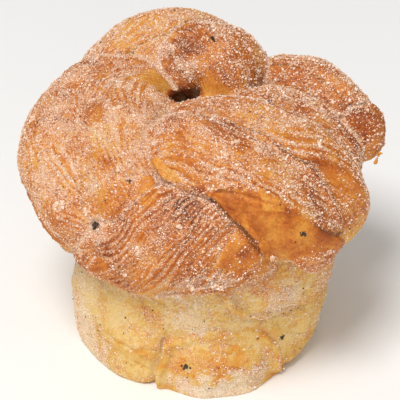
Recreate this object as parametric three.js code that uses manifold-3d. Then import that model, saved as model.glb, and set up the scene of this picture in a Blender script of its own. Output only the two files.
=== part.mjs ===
// A cardamom bun: rolls of laminated dough, knotted and baked in a round tin, so that a browned crown
// stands over a pale straight-sided base. Millimetres, +Z up, origin at the middle of the base.
import * as THREE from "three";
import { mergeVertices } from "three/addons/utils/BufferGeometryUtils.js";
import Module from "manifold-3d";

const wasm = await Module();
wasm.setup();

// Base that filled the tin
const BASE_RADIUS = 31;
const BASE_CORNER = 3.5;
const CORNER_BEVEL = BASE_CORNER * (1 - Math.SQRT1_2);
const NECK_RADIUS = 31;
const NECK_HEIGHT = 30;

// Dome under the rolls, and the hole in the knot
const KNOT_HEIGHT = 44;
const KNOT_RADIUS = 34.5;
const KNOT_TOP = 65;
const HOLE_PLACE = new THREE.Vector2(-3.4, 5.4);
const HOLE_RADIUS = 3.3;
const HOLE_STRETCH = 1.15;
const HOLE_TURN = 0.5;
const HOLE_FLOOR = 50;
const HOLE_MOUTH = 76;
// Rings of the hole, from its floor up: share of its radius and share of its depth
const HOLE_RINGS = [[0, 0], [0.7, 0.05], [1, 0.3], [1, 0.7], [1.4, 1], [0, 1]];

// Each roll of dough is a drawn-out lobe. Its path is given by stations around the bun's axis:
// azimuth in degrees (0 is right, 270 is the front), distance from the axis, and height.
// halfWidth lies along the bun's skin and halfThick stands out of it. belly says how far along it is fattest.
// Its folds are long facets that turn by twist, in turns, from end to end, and crisp says how flat they are.
// turn says how far the facets are turned where the roll starts.
const ROLLS = {
  left: {
    path: [[104, 17, 57], [140, 25, 55], [173, 28.5, 49.5], [203, 27, 44.5], [229, 24, 39]],
    halfWidth: 16.7,
    halfThick: 16.6,
    belly: 0.53,
    folds: 7,
    twist: 0.1,
    crisp: 0.5,
  },
  inner: {
    path: [[108, 12, 56], [150, 16.5, 56.5], [202, 18.5, 54], [228, 23.5, 51.5], [246, 29.5, 45.5]],
    halfWidth: 13.5,
    halfThick: 13.2,
    belly: 0.5,
    folds: 6,
    twist: 0.1,
    crisp: 0.2,
  },
  outerBack: {
    path: [[158, 25.5, 49], [131, 29.5, 57], [108, 30.2, 60.8], [88, 29.5, 58], [66, 27, 47]],
    halfWidth: 13.8,
    halfThick: 13.4,
    belly: 0.5,
    folds: 6,
    twist: 0.2,
    crisp: 0.4,
  },
  back: {
    path: [[38, 6.5, 56.5], [61, 12, 61.5], [77, 18.3, 64], [84, 24, 61.3], [84, 26.5, 51]],
    halfWidth: 15.2,
    halfThick: 12,
    belly: 0.68,
    folds: 6,
    twist: 0.3,
    crisp: 0.4,
  },
  rightBack: {
    path: [[66, 25, 48.5], [45, 30, 54], [27, 35.5, 54.5], [14, 40.5, 51]],
    halfWidth: 12.5,
    halfThick: 11,
    belly: 0.5,
    folds: 5,
    twist: 0.2,
    crisp: 0.4,
  },
  rightEnd: {
    path: [[28, 28, 46], [17, 37, 50.5], [11, 47, 51]],
    halfWidth: 9.5,
    halfThick: 8.5,
    belly: 0.6,
    folds: 5,
    twist: 0.1,
    crisp: 0.4,
  },
  rightInner: {
    path: [[290, 4, 57], [350, 9, 59.5], [8, 20, 58], [2, 32, 51], [0, 38, 44]],
    halfWidth: 10,
    halfThick: 8,
    belly: 0.5,
    folds: 5,
    twist: 0.1,
    crisp: 0.3,
  },
  upperBand: {
    path: [
      [230, 11, 57.5], [280, 8, 61], [327, 19.5, 57],
      [337, 31.5, 49.5], [343, 34.5, 41], [346, 34, 32],
    ],
    halfWidth: 12.5,
    halfThick: 10.8,
    belly: 0.5,
    folds: 6,
    twist: 0.1,
    crisp: 0.5,
  },
  lowerBand: {
    path: [
      [222, 16, 57.5], [258, 15.5, 60], [287, 22.5, 57.5],
      [302, 29, 52.5], [315, 32.5, 46.5], [329, 34, 39],
    ],
    halfWidth: 12.5,
    halfThick: 11.5,
    belly: 0.46,
    folds: 6,
    twist: 0.15,
    crisp: 0.5,
  },
  cutFace: {
    path: [
      [270, 28.5, 60], [283, 32, 58], [296, 35, 53.2],
      [307, 36.8, 47], [317, 37.2, 41], [328, 36.2, 36],
    ],
    halfWidth: 7,
    halfThick: 9.5,
    belly: 0.7,
    folds: 3,
    twist: 0,
    turn: -0.458,
    crisp: 0.85,
  },
  front: {
    path: [[205, 33, 35], [231, 28.8, 39.5], [262, 27.8, 45.5], [287, 28.4, 45], [309, 28.6, 39]],
    halfWidth: 14.2,
    halfThick: 11.5,
    belly: 0.55,
    folds: 7,
    twist: 0.5,
    crisp: 0.5,
  },
  neck: {
    path: [[270, 25, 28], [302, 28.2, 30], [328, 29.4, 29], [353, 28.8, 27], [380, 26.5, 28]],
    halfWidth: 10,
    halfThick: 6.5,
    belly: 0.5,
    folds: 5,
    twist: 0.1,
    crisp: 0.5,
  },
  underBack: {
    path: [[10, 29.7, 38], [50, 31.2, 41], [86, 31.1, 42], [122, 30.5, 42], [160, 29, 40]],
    halfWidth: 12,
    halfThick: 11,
    belly: 0.5,
    folds: 6,
    twist: 0.3,
    crisp: 0.4,
  },
  baseLeft: {
    path: [[215, 23, -10], [212, 23.3, 10], [210, 22, 36]],
    halfWidth: 19,
    halfThick: 9.5,
    belly: 0.5,
    folds: 6,
    twist: 0,
    crisp: 0.2,
  },
  baseFront: {
    path: [[240, 19.6, 6], [258, 21.8, 6], [280, 22.3, 6], [302, 21.8, 6], [318, 19.4, 6]],
    halfWidth: 18,
    halfThick: 11,
    belly: 0.5,
    folds: 6,
    twist: 0,
    crisp: 0.2,
  },
  baseRight: {
    path: [[334, 21, -4], [336, 23.5, 12], [340, 24.5, 32]],
    halfWidth: 13,
    halfThick: 9.5,
    belly: 0.5,
    folds: 6,
    twist: 0,
    crisp: 0.2,
  },
  baseBack: {
    path: [[50, 22, -6], [55, 23, 14], [60, 23.5, 32]],
    halfWidth: 19,
    halfThick: 9.5,
    belly: 0.5,
    folds: 6,
    twist: 0,
    crisp: 0.2,
  },
  baseBackLeft: {
    path: [[130, 22, -6], [130, 23, 14], [128, 23.5, 32]],
    halfWidth: 19,
    halfThick: 9.5,
    belly: 0.5,
    folds: 6,
    twist: 0,
    crisp: 0.2,
  },
};

// Shape that all rolls share: how blunt their ends are, and how much and how often they swell
const BLUNT = 0.75;
const SWELL = 0.04;
const SWELL_LONG = 9;
const SWELL_SHORT = 15;

// Cardamom seeds on the crust: azimuth and lift in degrees, seen from the knot's middle, and length
const SEEDS = [[226, 5, 3], [237, 27, 1.6], [305, 9, 1.8], [264, -47, 1.6], [311, -46, 1.3], [78, 63, 2.2]];
const SEED_FLATNESS = 0.65;

// Clumps of sugar, the largest first, spread evenly between two lifts
const CLUMP_COUNT = 30;
const CLUMP_LARGEST = 2.2;
const CLUMP_SMALLEST = 1.2;
const CLUMP_FLATNESS = 0.6;
const CLUMP_STRIDE = 17;
const CLUMP_LOW = -30;
const CLUMP_HIGH = 78;
const GOLDEN_TURN = 137.508;

// Fineness of the faceted surfaces
const SIDE_LENGTH = 2.8;
const ROW_LENGTH = 3;
const ROWS_LEAST = 16;
const DOME_STEPS = 8;
const DOME_SIDES = 48;
const HOLE_SIDES = 20;
const MERGE_GAP = 1e-3;
const FAR = 150;

const { degToRad, euclideanModulo, lerp } = THREE.MathUtils;

// A closed geometry as a solid for joining and cutting.
function solidOf(geometry) {
  const bare = geometry.clone();
  bare.deleteAttribute("normal");
  bare.deleteAttribute("uv");
  const merged = mergeVertices(bare, MERGE_GAP);
  return new wasm.Manifold(
    new wasm.Mesh({
      numProp: 3,
      vertProperties: merged.attributes.position.array,
      triVerts: new Uint32Array(merged.index.array),
    }),
  );
}

// A solid back as a geometry.
function geometryOf(solid) {
  const mesh = solid.getMesh();
  const geometry = new THREE.BufferGeometry();
  geometry.setAttribute("position", new THREE.BufferAttribute(mesh.vertProperties, 3));
  geometry.setIndex(new THREE.BufferAttribute(mesh.triVerts, 1));
  return geometry;
}

// A point around the bun's axis.
function station([azimuth, distance, height]) {
  const turn = degToRad(azimuth);
  return new THREE.Vector3(distance * Math.cos(turn), distance * Math.sin(turn), height);
}

// How far a rounded polygon with that many folds reaches at an angle: 1 at a corner, less on a facet.
function foldReach(angle, folds, crisp) {
  const half = Math.PI / folds;
  const within = euclideanModulo(angle, 2 * half) - half;
  return 1 - crisp * (1 - Math.cos(half) / Math.cos(within));
}

// A slow unevenness around and along a roll. Its order sets where it swells.
function swell(angle, along, order) {
  const long = Math.sin(SWELL_LONG * along + 2 * angle + order);
  const short = Math.sin(SWELL_SHORT * along - angle + 2 * order);
  return 1 + SWELL * long * short;
}

// A roll of dough: a unit sphere drawn out along the roll's path.
function roll({ path, halfWidth, halfThick, belly, folds, twist, turn = 0, crisp }, order) {
  const spine = new THREE.CatmullRomCurve3(path.map(station));
  const sides = Math.round((Math.PI * (halfWidth + halfThick)) / SIDE_LENGTH);
  const rows = Math.max(ROWS_LEAST, Math.round(spine.getLength() / ROW_LENGTH));
  const sphere = new THREE.SphereGeometry(1, sides, rows);
  const skew = Math.log(belly) / Math.log(0.5);
  const point = new THREE.Vector3();
  const positions = sphere.attributes.position;
  for (let i = 0; i < positions.count; i++) {
    point.fromBufferAttribute(positions, i);
    const along = THREE.MathUtils.clamp((1 - point.y) / 2, 0, 1) ** skew;
    const angle = Math.atan2(point.z, point.x);
    const girth = Math.hypot(point.x, point.z) ** BLUNT;
    const fold = foldReach(angle + 2 * Math.PI * (turn + twist * along), folds, crisp);
    const reach = girth * fold * swell(angle, along, order);
    const middle = spine.getPointAt(along);
    const tangent = spine.getTangentAt(along);
    const outward = new THREE.Vector3(middle.x, middle.y, Math.max(0, middle.z - KNOT_HEIGHT));
    outward.addScaledVector(tangent, -outward.dot(tangent)).normalize();
    const across = outward.clone().cross(tangent);
    middle.addScaledVector(across, Math.cos(angle) * reach * halfWidth);
    middle.addScaledVector(outward, Math.sin(angle) * reach * halfThick);
    positions.setXYZ(i, middle.x, middle.y, middle.z);
  }
  return sphere;
}

// The heart of the bun: the part that filled the tin, and over it the low dome that the rolls lie on.
function heart() {
  const profile = [
    new THREE.Vector2(0, 0),
    new THREE.Vector2(BASE_RADIUS - BASE_CORNER, 0),
    new THREE.Vector2(BASE_RADIUS - CORNER_BEVEL, CORNER_BEVEL),
    new THREE.Vector2(BASE_RADIUS, BASE_CORNER),
    new THREE.Vector2(NECK_RADIUS, NECK_HEIGHT),
  ];
  for (let step = 0; step <= DOME_STEPS; step++) {
    const lift = (step / DOME_STEPS) * (Math.PI / 2);
    const height = lerp(KNOT_HEIGHT, KNOT_TOP, Math.sin(lift));
    profile.push(new THREE.Vector2(KNOT_RADIUS * Math.cos(lift), height));
  }
  return new THREE.LatheGeometry(profile, DOME_SIDES).rotateX(Math.PI / 2);
}

// The hole in the knot: an oval funnel that the rolls leave between them.
function hole() {
  const profile = HOLE_RINGS.map(([reach, rise]) => {
    return new THREE.Vector2(HOLE_RADIUS * reach, lerp(HOLE_FLOOR, HOLE_MOUTH, rise));
  });
  const funnel = new THREE.LatheGeometry(profile, HOLE_SIDES).rotateX(Math.PI / 2);
  funnel.scale(HOLE_STRETCH, 1 / HOLE_STRETCH, 1).rotateZ(HOLE_TURN);
  return funnel.translate(HOLE_PLACE.x, HOLE_PLACE.y, 0);
}

// A grain half sunk in the crust, where a line from the knot's middle leaves it.
function grain(crust, azimuth, lift, length, flatness, turn) {
  const knot = new THREE.Vector3(0, 0, KNOT_HEIGHT);
  const line = station([azimuth, Math.cos(degToRad(lift)), Math.sin(degToRad(lift))]);
  const ray = new THREE.Raycaster(knot.addScaledVector(line, FAR), line.clone().negate());
  const [hit] = ray.intersectObject(crust);
  const pose = new THREE.Quaternion().setFromUnitVectors(new THREE.Vector3(0, 0, 1), hit.face.normal);
  const shape = new THREE.IcosahedronGeometry(length / 2).scale(1, flatness, flatness).rotateZ(turn);
  return shape.applyQuaternion(pose).translate(hit.point.x, hit.point.y, hit.point.z);
}

// The seeds and the clumps that lie on a crust.
function toppings(crust) {
  const grains = SEEDS.map(([azimuth, lift, length], i) => {
    return grain(crust, azimuth, lift, length, SEED_FLATNESS, i);
  });
  const low = Math.sin(degToRad(CLUMP_LOW));
  const high = Math.sin(degToRad(CLUMP_HIGH));
  for (let i = 0; i < CLUMP_COUNT; i++) {
    const rank = (i * CLUMP_STRIDE) % CLUMP_COUNT;
    const lift = THREE.MathUtils.radToDeg(Math.asin(lerp(low, high, (rank + 0.5) / CLUMP_COUNT)));
    const size = lerp(CLUMP_LARGEST, CLUMP_SMALLEST, i / CLUMP_COUNT);
    grains.push(grain(crust, rank * GOLDEN_TURN, lift, size, CLUMP_FLATNESS, i));
  }
  return grains;
}

// The whole bun as one solid, flat underneath.
function bun(material) {
  let solid = solidOf(heart());
  Object.values(ROLLS).forEach((shape, order) => {
    solid = solid.add(solidOf(roll(shape, order)));
  });
  const floor = new THREE.BoxGeometry(FAR, FAR, FAR).translate(0, 0, -FAR / 2);
  solid = solid.subtract(solidOf(hole())).subtract(solidOf(floor));
  const crust = new THREE.Mesh(geometryOf(solid), material);
  for (const topping of toppings(crust)) solid = solid.add(solidOf(topping));
  const mesh = new THREE.Mesh(geometryOf(solid), material);
  mesh.name = "bun";
  return mesh;
}

const crust = new THREE.MeshStandardMaterial({ color: 0xc98a45, roughness: 0.75, metalness: 0 });
const group = new THREE.Group();
group.add(bun(crust));

export default group;
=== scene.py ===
"""Looks of the cardamom bun: knotted laminated dough, baked brown over a pale base, under sugar and cardamom.

Sizes are in millimetres, and turn to metres where a mesh, a lamp or the camera is made. The heart and the
rolls repeat the sizes that the part's solid is drawn from, so the dressed bun lies where the solid does.
"""

from __future__ import annotations

import itertools
import logging
import math
from dataclasses import dataclass, field
from enum import Enum

import bpy
import numpy as np
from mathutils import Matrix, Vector
from mathutils.bvhtree import BVHTree
from mathutils.kdtree import KDTree


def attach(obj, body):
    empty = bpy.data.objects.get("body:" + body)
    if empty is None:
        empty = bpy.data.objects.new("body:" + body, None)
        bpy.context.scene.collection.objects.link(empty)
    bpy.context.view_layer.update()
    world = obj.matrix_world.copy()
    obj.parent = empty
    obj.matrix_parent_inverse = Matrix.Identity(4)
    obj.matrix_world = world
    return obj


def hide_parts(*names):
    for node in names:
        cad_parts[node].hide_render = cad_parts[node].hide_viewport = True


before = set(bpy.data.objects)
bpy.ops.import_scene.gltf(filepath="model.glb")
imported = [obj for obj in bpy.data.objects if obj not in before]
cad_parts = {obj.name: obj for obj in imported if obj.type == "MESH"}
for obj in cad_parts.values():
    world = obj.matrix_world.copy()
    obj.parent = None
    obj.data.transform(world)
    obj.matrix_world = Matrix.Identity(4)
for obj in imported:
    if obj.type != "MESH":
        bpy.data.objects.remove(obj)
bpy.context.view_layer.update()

MM = 0.001
# Further from the middle of the knot than any of the crust
OUTSIDE = 100
BODY = "root"
NODE = "bun"
LOG = logging.getLogger("cardamom_bun")

# Numbers of a colour mix node's sockets: what it mixes by, from and to, and its result
BY, FROM, TO, MIXED = 0, 6, 7, 2

Array = np.ndarray
Station = tuple[float, float, float]


# Small helpers


def linear(hex_colour: str) -> tuple[float, float, float, float]:
    """Turns an sRGB hex colour to a linear one.

    Args:
        hex_colour: Six hex digits after a hash.

    Returns:
        Linear red, green and blue, and an alpha of one.
    """
    parts = [int(hex_colour[i : i + 2], 16) / 255 for i in (1, 3, 5)]
    red, green, blue = (c / 12.92 if c <= 0.04045 else ((c + 0.055) / 1.055) ** 2.4 for c in parts)
    return red, green, blue, 1.0


def add_node(
    tree: bpy.types.NodeTree,
    kind: str,
    settings: dict[str | int, object] | None = None,
    links: dict[str | int, bpy.types.NodeSocket] | None = None,
) -> bpy.types.Node:
    """Adds a node with its settings and links.

    Args:
        tree: The tree that takes the node.
        kind: The node's type.
        settings: Values by the name or number of an input, or else by the name of a property.
        links: Sockets to draw from, by the name or number of an input.

    Returns:
        The new node.
    """
    node = tree.nodes.new(kind)
    for name, value in (settings or {}).items():
        if isinstance(name, int) or name in node.inputs:
            node.inputs[name].default_value = value
        else:
            setattr(node, name, value)
    for name, socket in (links or {}).items():
        tree.links.new(socket, node.inputs[name])
    return node


def new_material(name: str) -> tuple[bpy.types.Material, bpy.types.NodeTree]:
    """Makes a material with an empty node tree.

    Args:
        name: The material's name.

    Returns:
        The material and its tree.
    """
    material = bpy.data.materials.new(name)
    material.use_nodes = True
    material.node_tree.nodes.clear()
    return material, material.node_tree


def smoothstep(low: float, high: float, values: Array) -> Array:
    """Rises smoothly from 0 at low to 1 at high."""
    part = np.clip((values - low) / (high - low), 0, 1)
    return part * part * (3 - 2 * part)


def unit(vectors: Array) -> Array:
    """Scales each row to a length of one."""
    return vectors / np.maximum(np.linalg.norm(vectors, axis=-1, keepdims=True), 1e-9)


def read_along(values: Array, along: Array) -> Array:
    """Reads rows of values at shares of the way along them."""
    where = np.linspace(0, 1, len(values))
    return np.column_stack([np.interp(along, where, column) for column in values.T])


def new_mesh(name: str, points: Array, faces: Array) -> bpy.types.Mesh:
    """Makes a mesh from arrays.

    Args:
        name: The mesh's name.
        points: Corners in millimetres.
        faces: Rows of corner numbers, all of one length.

    Returns:
        The mesh, in metres.
    """
    mesh = bpy.data.meshes.new(name)
    mesh.vertices.add(len(points))
    mesh.vertices.foreach_set("co", (points * MM).astype(np.float32).ravel())
    mesh.loops.add(faces.size)
    mesh.loops.foreach_set("vertex_index", faces.astype(np.int32).ravel())
    mesh.polygons.add(len(faces))
    mesh.polygons.foreach_set("loop_start", np.arange(0, faces.size, faces.shape[1], dtype=np.int32))
    mesh.update(calc_edges=True)
    mesh.validate()
    return mesh


def new_object(name: str, mesh: bpy.types.Mesh) -> bpy.types.Object:
    """Puts a mesh into the scene.

    Args:
        name: The object's name.
        mesh: Its mesh.

    Returns:
        The object.
    """
    piece = bpy.data.objects.new(name, mesh)
    bpy.context.scene.collection.objects.link(piece)
    return piece


def add_values(mesh: bpy.types.Mesh, name: str, values: Array) -> None:
    """Gives a mesh a number at each point, for its finish to read.

    Args:
        mesh: The mesh.
        name: What the numbers are called.
        values: One number for each point.
    """
    holder = mesh.attributes.new(name, "FLOAT", "POINT")
    holder.data.foreach_set("value", values.astype(np.float32))


def dress(piece: bpy.types.Object, finish: bpy.types.Material) -> None:
    """Gives a piece its finish and lets it ride with the bun.

    Args:
        piece: The object.
        finish: Its only material.
    """
    piece.data.materials.clear()
    piece.data.materials.append(finish)
    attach(piece, BODY)
    LOG.info("%s has %d faces", piece.name, len(piece.data.polygons))


class SoftNoise:
    """Seeded noise that varies smoothly over three coordinates, from -1 to 1."""

    PERIOD = 32

    def __init__(self, seed: int) -> None:
        """Draws the lattice.

        Args:
            seed: Sets the lattice's values.
        """
        self.lattice = np.random.default_rng(seed).uniform(-1, 1, (self.PERIOD,) * 3)

    def at(self, points: Array) -> Array:
        """Reads the noise.

        Args:
            points: Rows of three coordinates, in lattice steps.

        Returns:
            One value for each row.
        """
        corner = np.floor(points).astype(int)
        part = points - corner
        part = part * part * (3 - 2 * part)
        total = np.zeros(len(points))
        for step in itertools.product((0, 1), repeat=3):
            index = (corner + step) % self.PERIOD
            weight = np.prod(np.where(step, part, 1 - part), axis=1)
            total += weight * self.lattice[index[:, 0], index[:, 1], index[:, 2]]
        return total


# Shape of the bun, in the sizes of its solid


def tube_faces(rings: int, sides: int) -> Array:
    """Gives the four-sided faces between rings of points, and of the two ends.

    Args:
        rings: How many rings there are.
        sides: Points in each ring, an even number.

    Returns:
        Rows of four point numbers.
    """
    row, side = np.meshgrid(np.arange(rings - 1), np.arange(sides), indexing="ij")
    near = row * sides
    after = (side + 1) % sides
    quads = np.stack([near + side, near + after, near + sides + after, near + sides + side], axis=-1)
    step = np.arange(sides // 2 - 1)
    cap = np.column_stack([step, step + 1, sides - 2 - step, sides - 1 - step])
    return np.vstack([quads.reshape(-1, 4), cap[:, ::-1], cap + (rings - 1) * sides])


@dataclass(frozen=True)
class Heart:
    """The part that filled the tin, the low dome that the rolls lie on, and the hole in the knot."""

    base_radius: float = 31
    base_corner: float = 3.5
    neck_height: float = 30
    knot_height: float = 44
    knot_radius: float = 34.5
    knot_top: float = 65
    hole_place: tuple[float, float] = (-3.4, 5.4)
    hole_radius: float = 3.3
    hole_stretch: float = 1.15
    hole_turn: float = 0.5
    hole_floor: float = 50
    hole_mouth: float = 76
    sides: int = 120
    dome_steps: int = 24
    point: float = 0.01

    def turned(self, profile: list[tuple[float, float]]) -> tuple[Array, Array]:
        """Turns a profile about the bun's axis.

        Args:
            profile: Radius and height of each ring, from one end on the axis to the other.

        Returns:
            The closed surface's points and its four-sided faces.
        """
        angle = np.linspace(0, 2 * math.pi, self.sides, endpoint=False)
        round_ = np.column_stack([np.cos(angle), np.sin(angle), np.zeros(self.sides)])
        rings = [round_ * radius + (0, 0, height) for radius, height in profile]
        return np.vstack(rings), tube_faces(len(profile), self.sides)

    def body(self) -> tuple[Array, Array]:
        """Draws the part that filled the tin, with its dome.

        Returns:
            The closed surface's points and its four-sided faces.
        """
        rise = self.knot_top - self.knot_height
        lifts = np.linspace(0, math.pi / 2, self.dome_steps, endpoint=False)
        dome = [(self.knot_radius * math.cos(a), self.knot_height + rise * math.sin(a)) for a in lifts]
        bevel = self.base_corner * (1 - math.sqrt(0.5))
        foot = [(self.base_radius - self.base_corner, 0), (self.base_radius - bevel, bevel)]
        wall = [(self.base_radius, self.base_corner), (self.base_radius, self.neck_height)]
        return self.turned([(self.point, 0), *foot, *wall, *dome, (self.point, self.knot_top)])

    def hole(self) -> tuple[Array, Array]:
        """Draws the oval funnel in the knot.

        Returns:
            The closed surface's points and its four-sided faces.
        """
        depth = self.hole_mouth - self.hole_floor
        shares = [(self.point, 0), (0.7, 0.05), (1, 0.3), (1, 0.7), (1.4, 1), (self.point, 1)]
        points, faces = self.turned([(self.hole_radius * r, self.hole_floor + depth * z) for r, z in shares])
        points = points * (self.hole_stretch, 1 / self.hole_stretch, 1)
        c, s = math.cos(self.hole_turn), math.sin(self.hole_turn)
        turn = np.array([[c, s, 0], [-s, c, 0], [0, 0, 1]])
        return points @ turn + (*self.hole_place, 0), faces


HEART = Heart()


@dataclass(frozen=True)
class Roll:
    """A roll of dough, drawn out along a path around the bun's axis.

    Attributes:
        order: Its number, as the rolls were laid.
        name: What it is.
        path: Stations of azimuth in degrees, distance from the axis, and height.
        half_width: Half its size along the bun's skin.
        half_thick: Half its size out of the bun's skin.
        belly: How far along it is fattest.
        folds: How many long facets it has.
        twist: How far the facets turn along it, in turns.
        turn: How far they are turned where it starts, in turns.
        crisp: How flat the facets are.
        lay: How far the layers in its skin turn along it, in turns.
        fan: The power by which they turn faster towards its end.
        pitch: How far apart the layers' edges lie.
        relief: How strongly the layers stand out.
        brown: How far it baked.
        sugar: How thickly it is sugared.
    """

    order: int
    name: str
    path: tuple[Station, ...]
    half_width: float
    half_thick: float
    belly: float
    folds: int
    twist: float
    crisp: float
    lay: float
    relief: float
    brown: float
    sugar: float
    fan: float = 1
    turn: float = 0
    pitch: float = 1.8

    # Bluntness of the ends, height and waves of the swellings, and how finely the spine is drawn
    BLUNT = 0.75
    SWELL = 0.04
    SWELL_LONG = 9
    SWELL_SHORT = 15
    STATIONS = 240
    STEPS = 60
    POLE = 0.004

    def crust(self) -> tuple[float, float, float, float]:
        """Gives the relief, browning, sugar and pitch of its crust."""
        return self.relief, self.brown, self.sugar, self.pitch

    def spine(self) -> Array:
        """Draws a centripetal curve through the path's stations.

        Returns:
            Points evenly spaced along it.
        """
        azimuth, reach, height = np.array(self.path, dtype=float).T
        turn = np.radians(azimuth)
        knots = np.column_stack([reach * np.cos(turn), reach * np.sin(turn), height])
        ends = np.vstack([2 * knots[0] - knots[1], knots, 2 * knots[-1] - knots[-2]])
        t = np.linspace(0, 1, self.STEPS, endpoint=False)[:, None]
        line = []
        for a, b, c, d in zip(ends, ends[1:], ends[2:], ends[3:]):
            ab, bc, cd = (np.linalg.norm(q - p) ** 0.5 for p, q in ((a, b), (b, c), (c, d)))
            leave = ((b - a) / ab - (c - a) / (ab + bc) + (c - b) / bc) * bc
            enter = ((c - b) / bc - (d - b) / (bc + cd) + (d - c) / cd) * bc
            bend = 3 * (c - b) - 2 * leave - enter
            line.append(b + leave * t + bend * t**2 + (2 * (b - c) + leave + enter) * t**3)
        line = np.vstack([*line, knots[-1:]])
        run = np.concatenate([[0], np.cumsum(np.linalg.norm(np.diff(line, axis=0), axis=1))])
        even = np.linspace(0, run[-1], self.STATIONS)
        return read_along(line, np.interp(even, run, np.linspace(0, 1, len(run))))

    def frames(self) -> tuple[float, Array, Array, Array, Array]:
        """Works out the directions along the spine.

        Returns:
            The spine's length, and its points with their tangent, outward and across directions.
        """
        middle = self.spine()
        length = float(np.linalg.norm(np.diff(middle, axis=0), axis=1).sum())
        tangent = unit(np.gradient(middle, axis=0))
        above = np.maximum(0, middle[:, 2] - HEART.knot_height)
        outward = np.column_stack([middle[:, 0], middle[:, 1], above])
        outward = unit(outward - tangent * np.sum(outward * tangent, axis=1, keepdims=True))
        return length, middle, tangent, outward, np.cross(outward, tangent)

    def reach(self, angle: Array, along: Array) -> Array:
        """Works out how far the skin stands out from the spine.

        Args:
            angle: The angle around the roll.
            along: How far along the roll, from 0 to 1.

        Returns:
            Shares of the roll's half size.
        """
        half = math.pi / self.folds
        within = np.mod(angle + 2 * math.pi * (self.turn + self.twist * along), 2 * half) - half
        fold = 1 - self.crisp * (1 - math.cos(half) / np.cos(within))
        long = np.sin(self.SWELL_LONG * along + 2 * angle + self.order)
        short = np.sin(self.SWELL_SHORT * along - angle + 2 * self.order)
        return fold * (1 + self.SWELL * long * short)

    def skin(self, spacing: float) -> tuple[Array, Array, Array]:
        """Draws the roll's surface.

        Args:
            spacing: About how far apart its points lie.

        Returns:
            Points, four-sided faces, and how far along the roll each point is, from 0 to 1.
        """
        length, middle, _, outward, across = self.frames()
        sides = 2 * round(math.pi * (self.half_width + self.half_thick) / spacing / 2)
        rows = round(math.pi / 2 * length / spacing)
        polar = np.linspace(self.POLE, math.pi - self.POLE, rows)
        ring = ((1 - np.cos(polar)) / 2) ** (math.log(self.belly) / math.log(0.5))
        along = np.repeat(ring, sides)
        angle = np.tile(np.linspace(0, 2 * math.pi, sides, endpoint=False), rows)
        reach = np.repeat(np.sin(polar) ** self.BLUNT, sides) * self.reach(angle, along)
        width = (reach * np.cos(angle) * self.half_width)[:, None]
        thick = (reach * np.sin(angle) * self.half_thick)[:, None]
        points = read_along(middle, along) + read_along(across, along) * width
        return points + read_along(outward, along) * thick, tube_faces(rows, sides), along

    def skin_place(self, points: Array, along: Array) -> Array:
        """Finds where points lie on the roll's skin.

        Args:
            points: Points on the skin.
            along: About how far along the roll each one is.

        Returns:
            Rows of millimetres around the roll, turned with its layers, and millimetres along it.
        """
        length, middle, tangent, outward, across = self.frames()
        for _ in range(2):
            ahead = np.sum((points - read_along(middle, along)) * read_along(tangent, along), axis=1)
            along = np.clip(along + 0.5 * ahead / length, 0, 1)
        away = points - read_along(middle, along)
        width = np.sum(away * read_along(across, along), axis=1) / self.half_width
        thick = np.sum(away * read_along(outward, along), axis=1) / self.half_thick
        angle = np.arctan2(thick, width) + 2 * math.pi * self.lay * along**self.fan
        return np.column_stack([angle * (self.half_width + self.half_thick) / 2, along * length])


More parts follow.
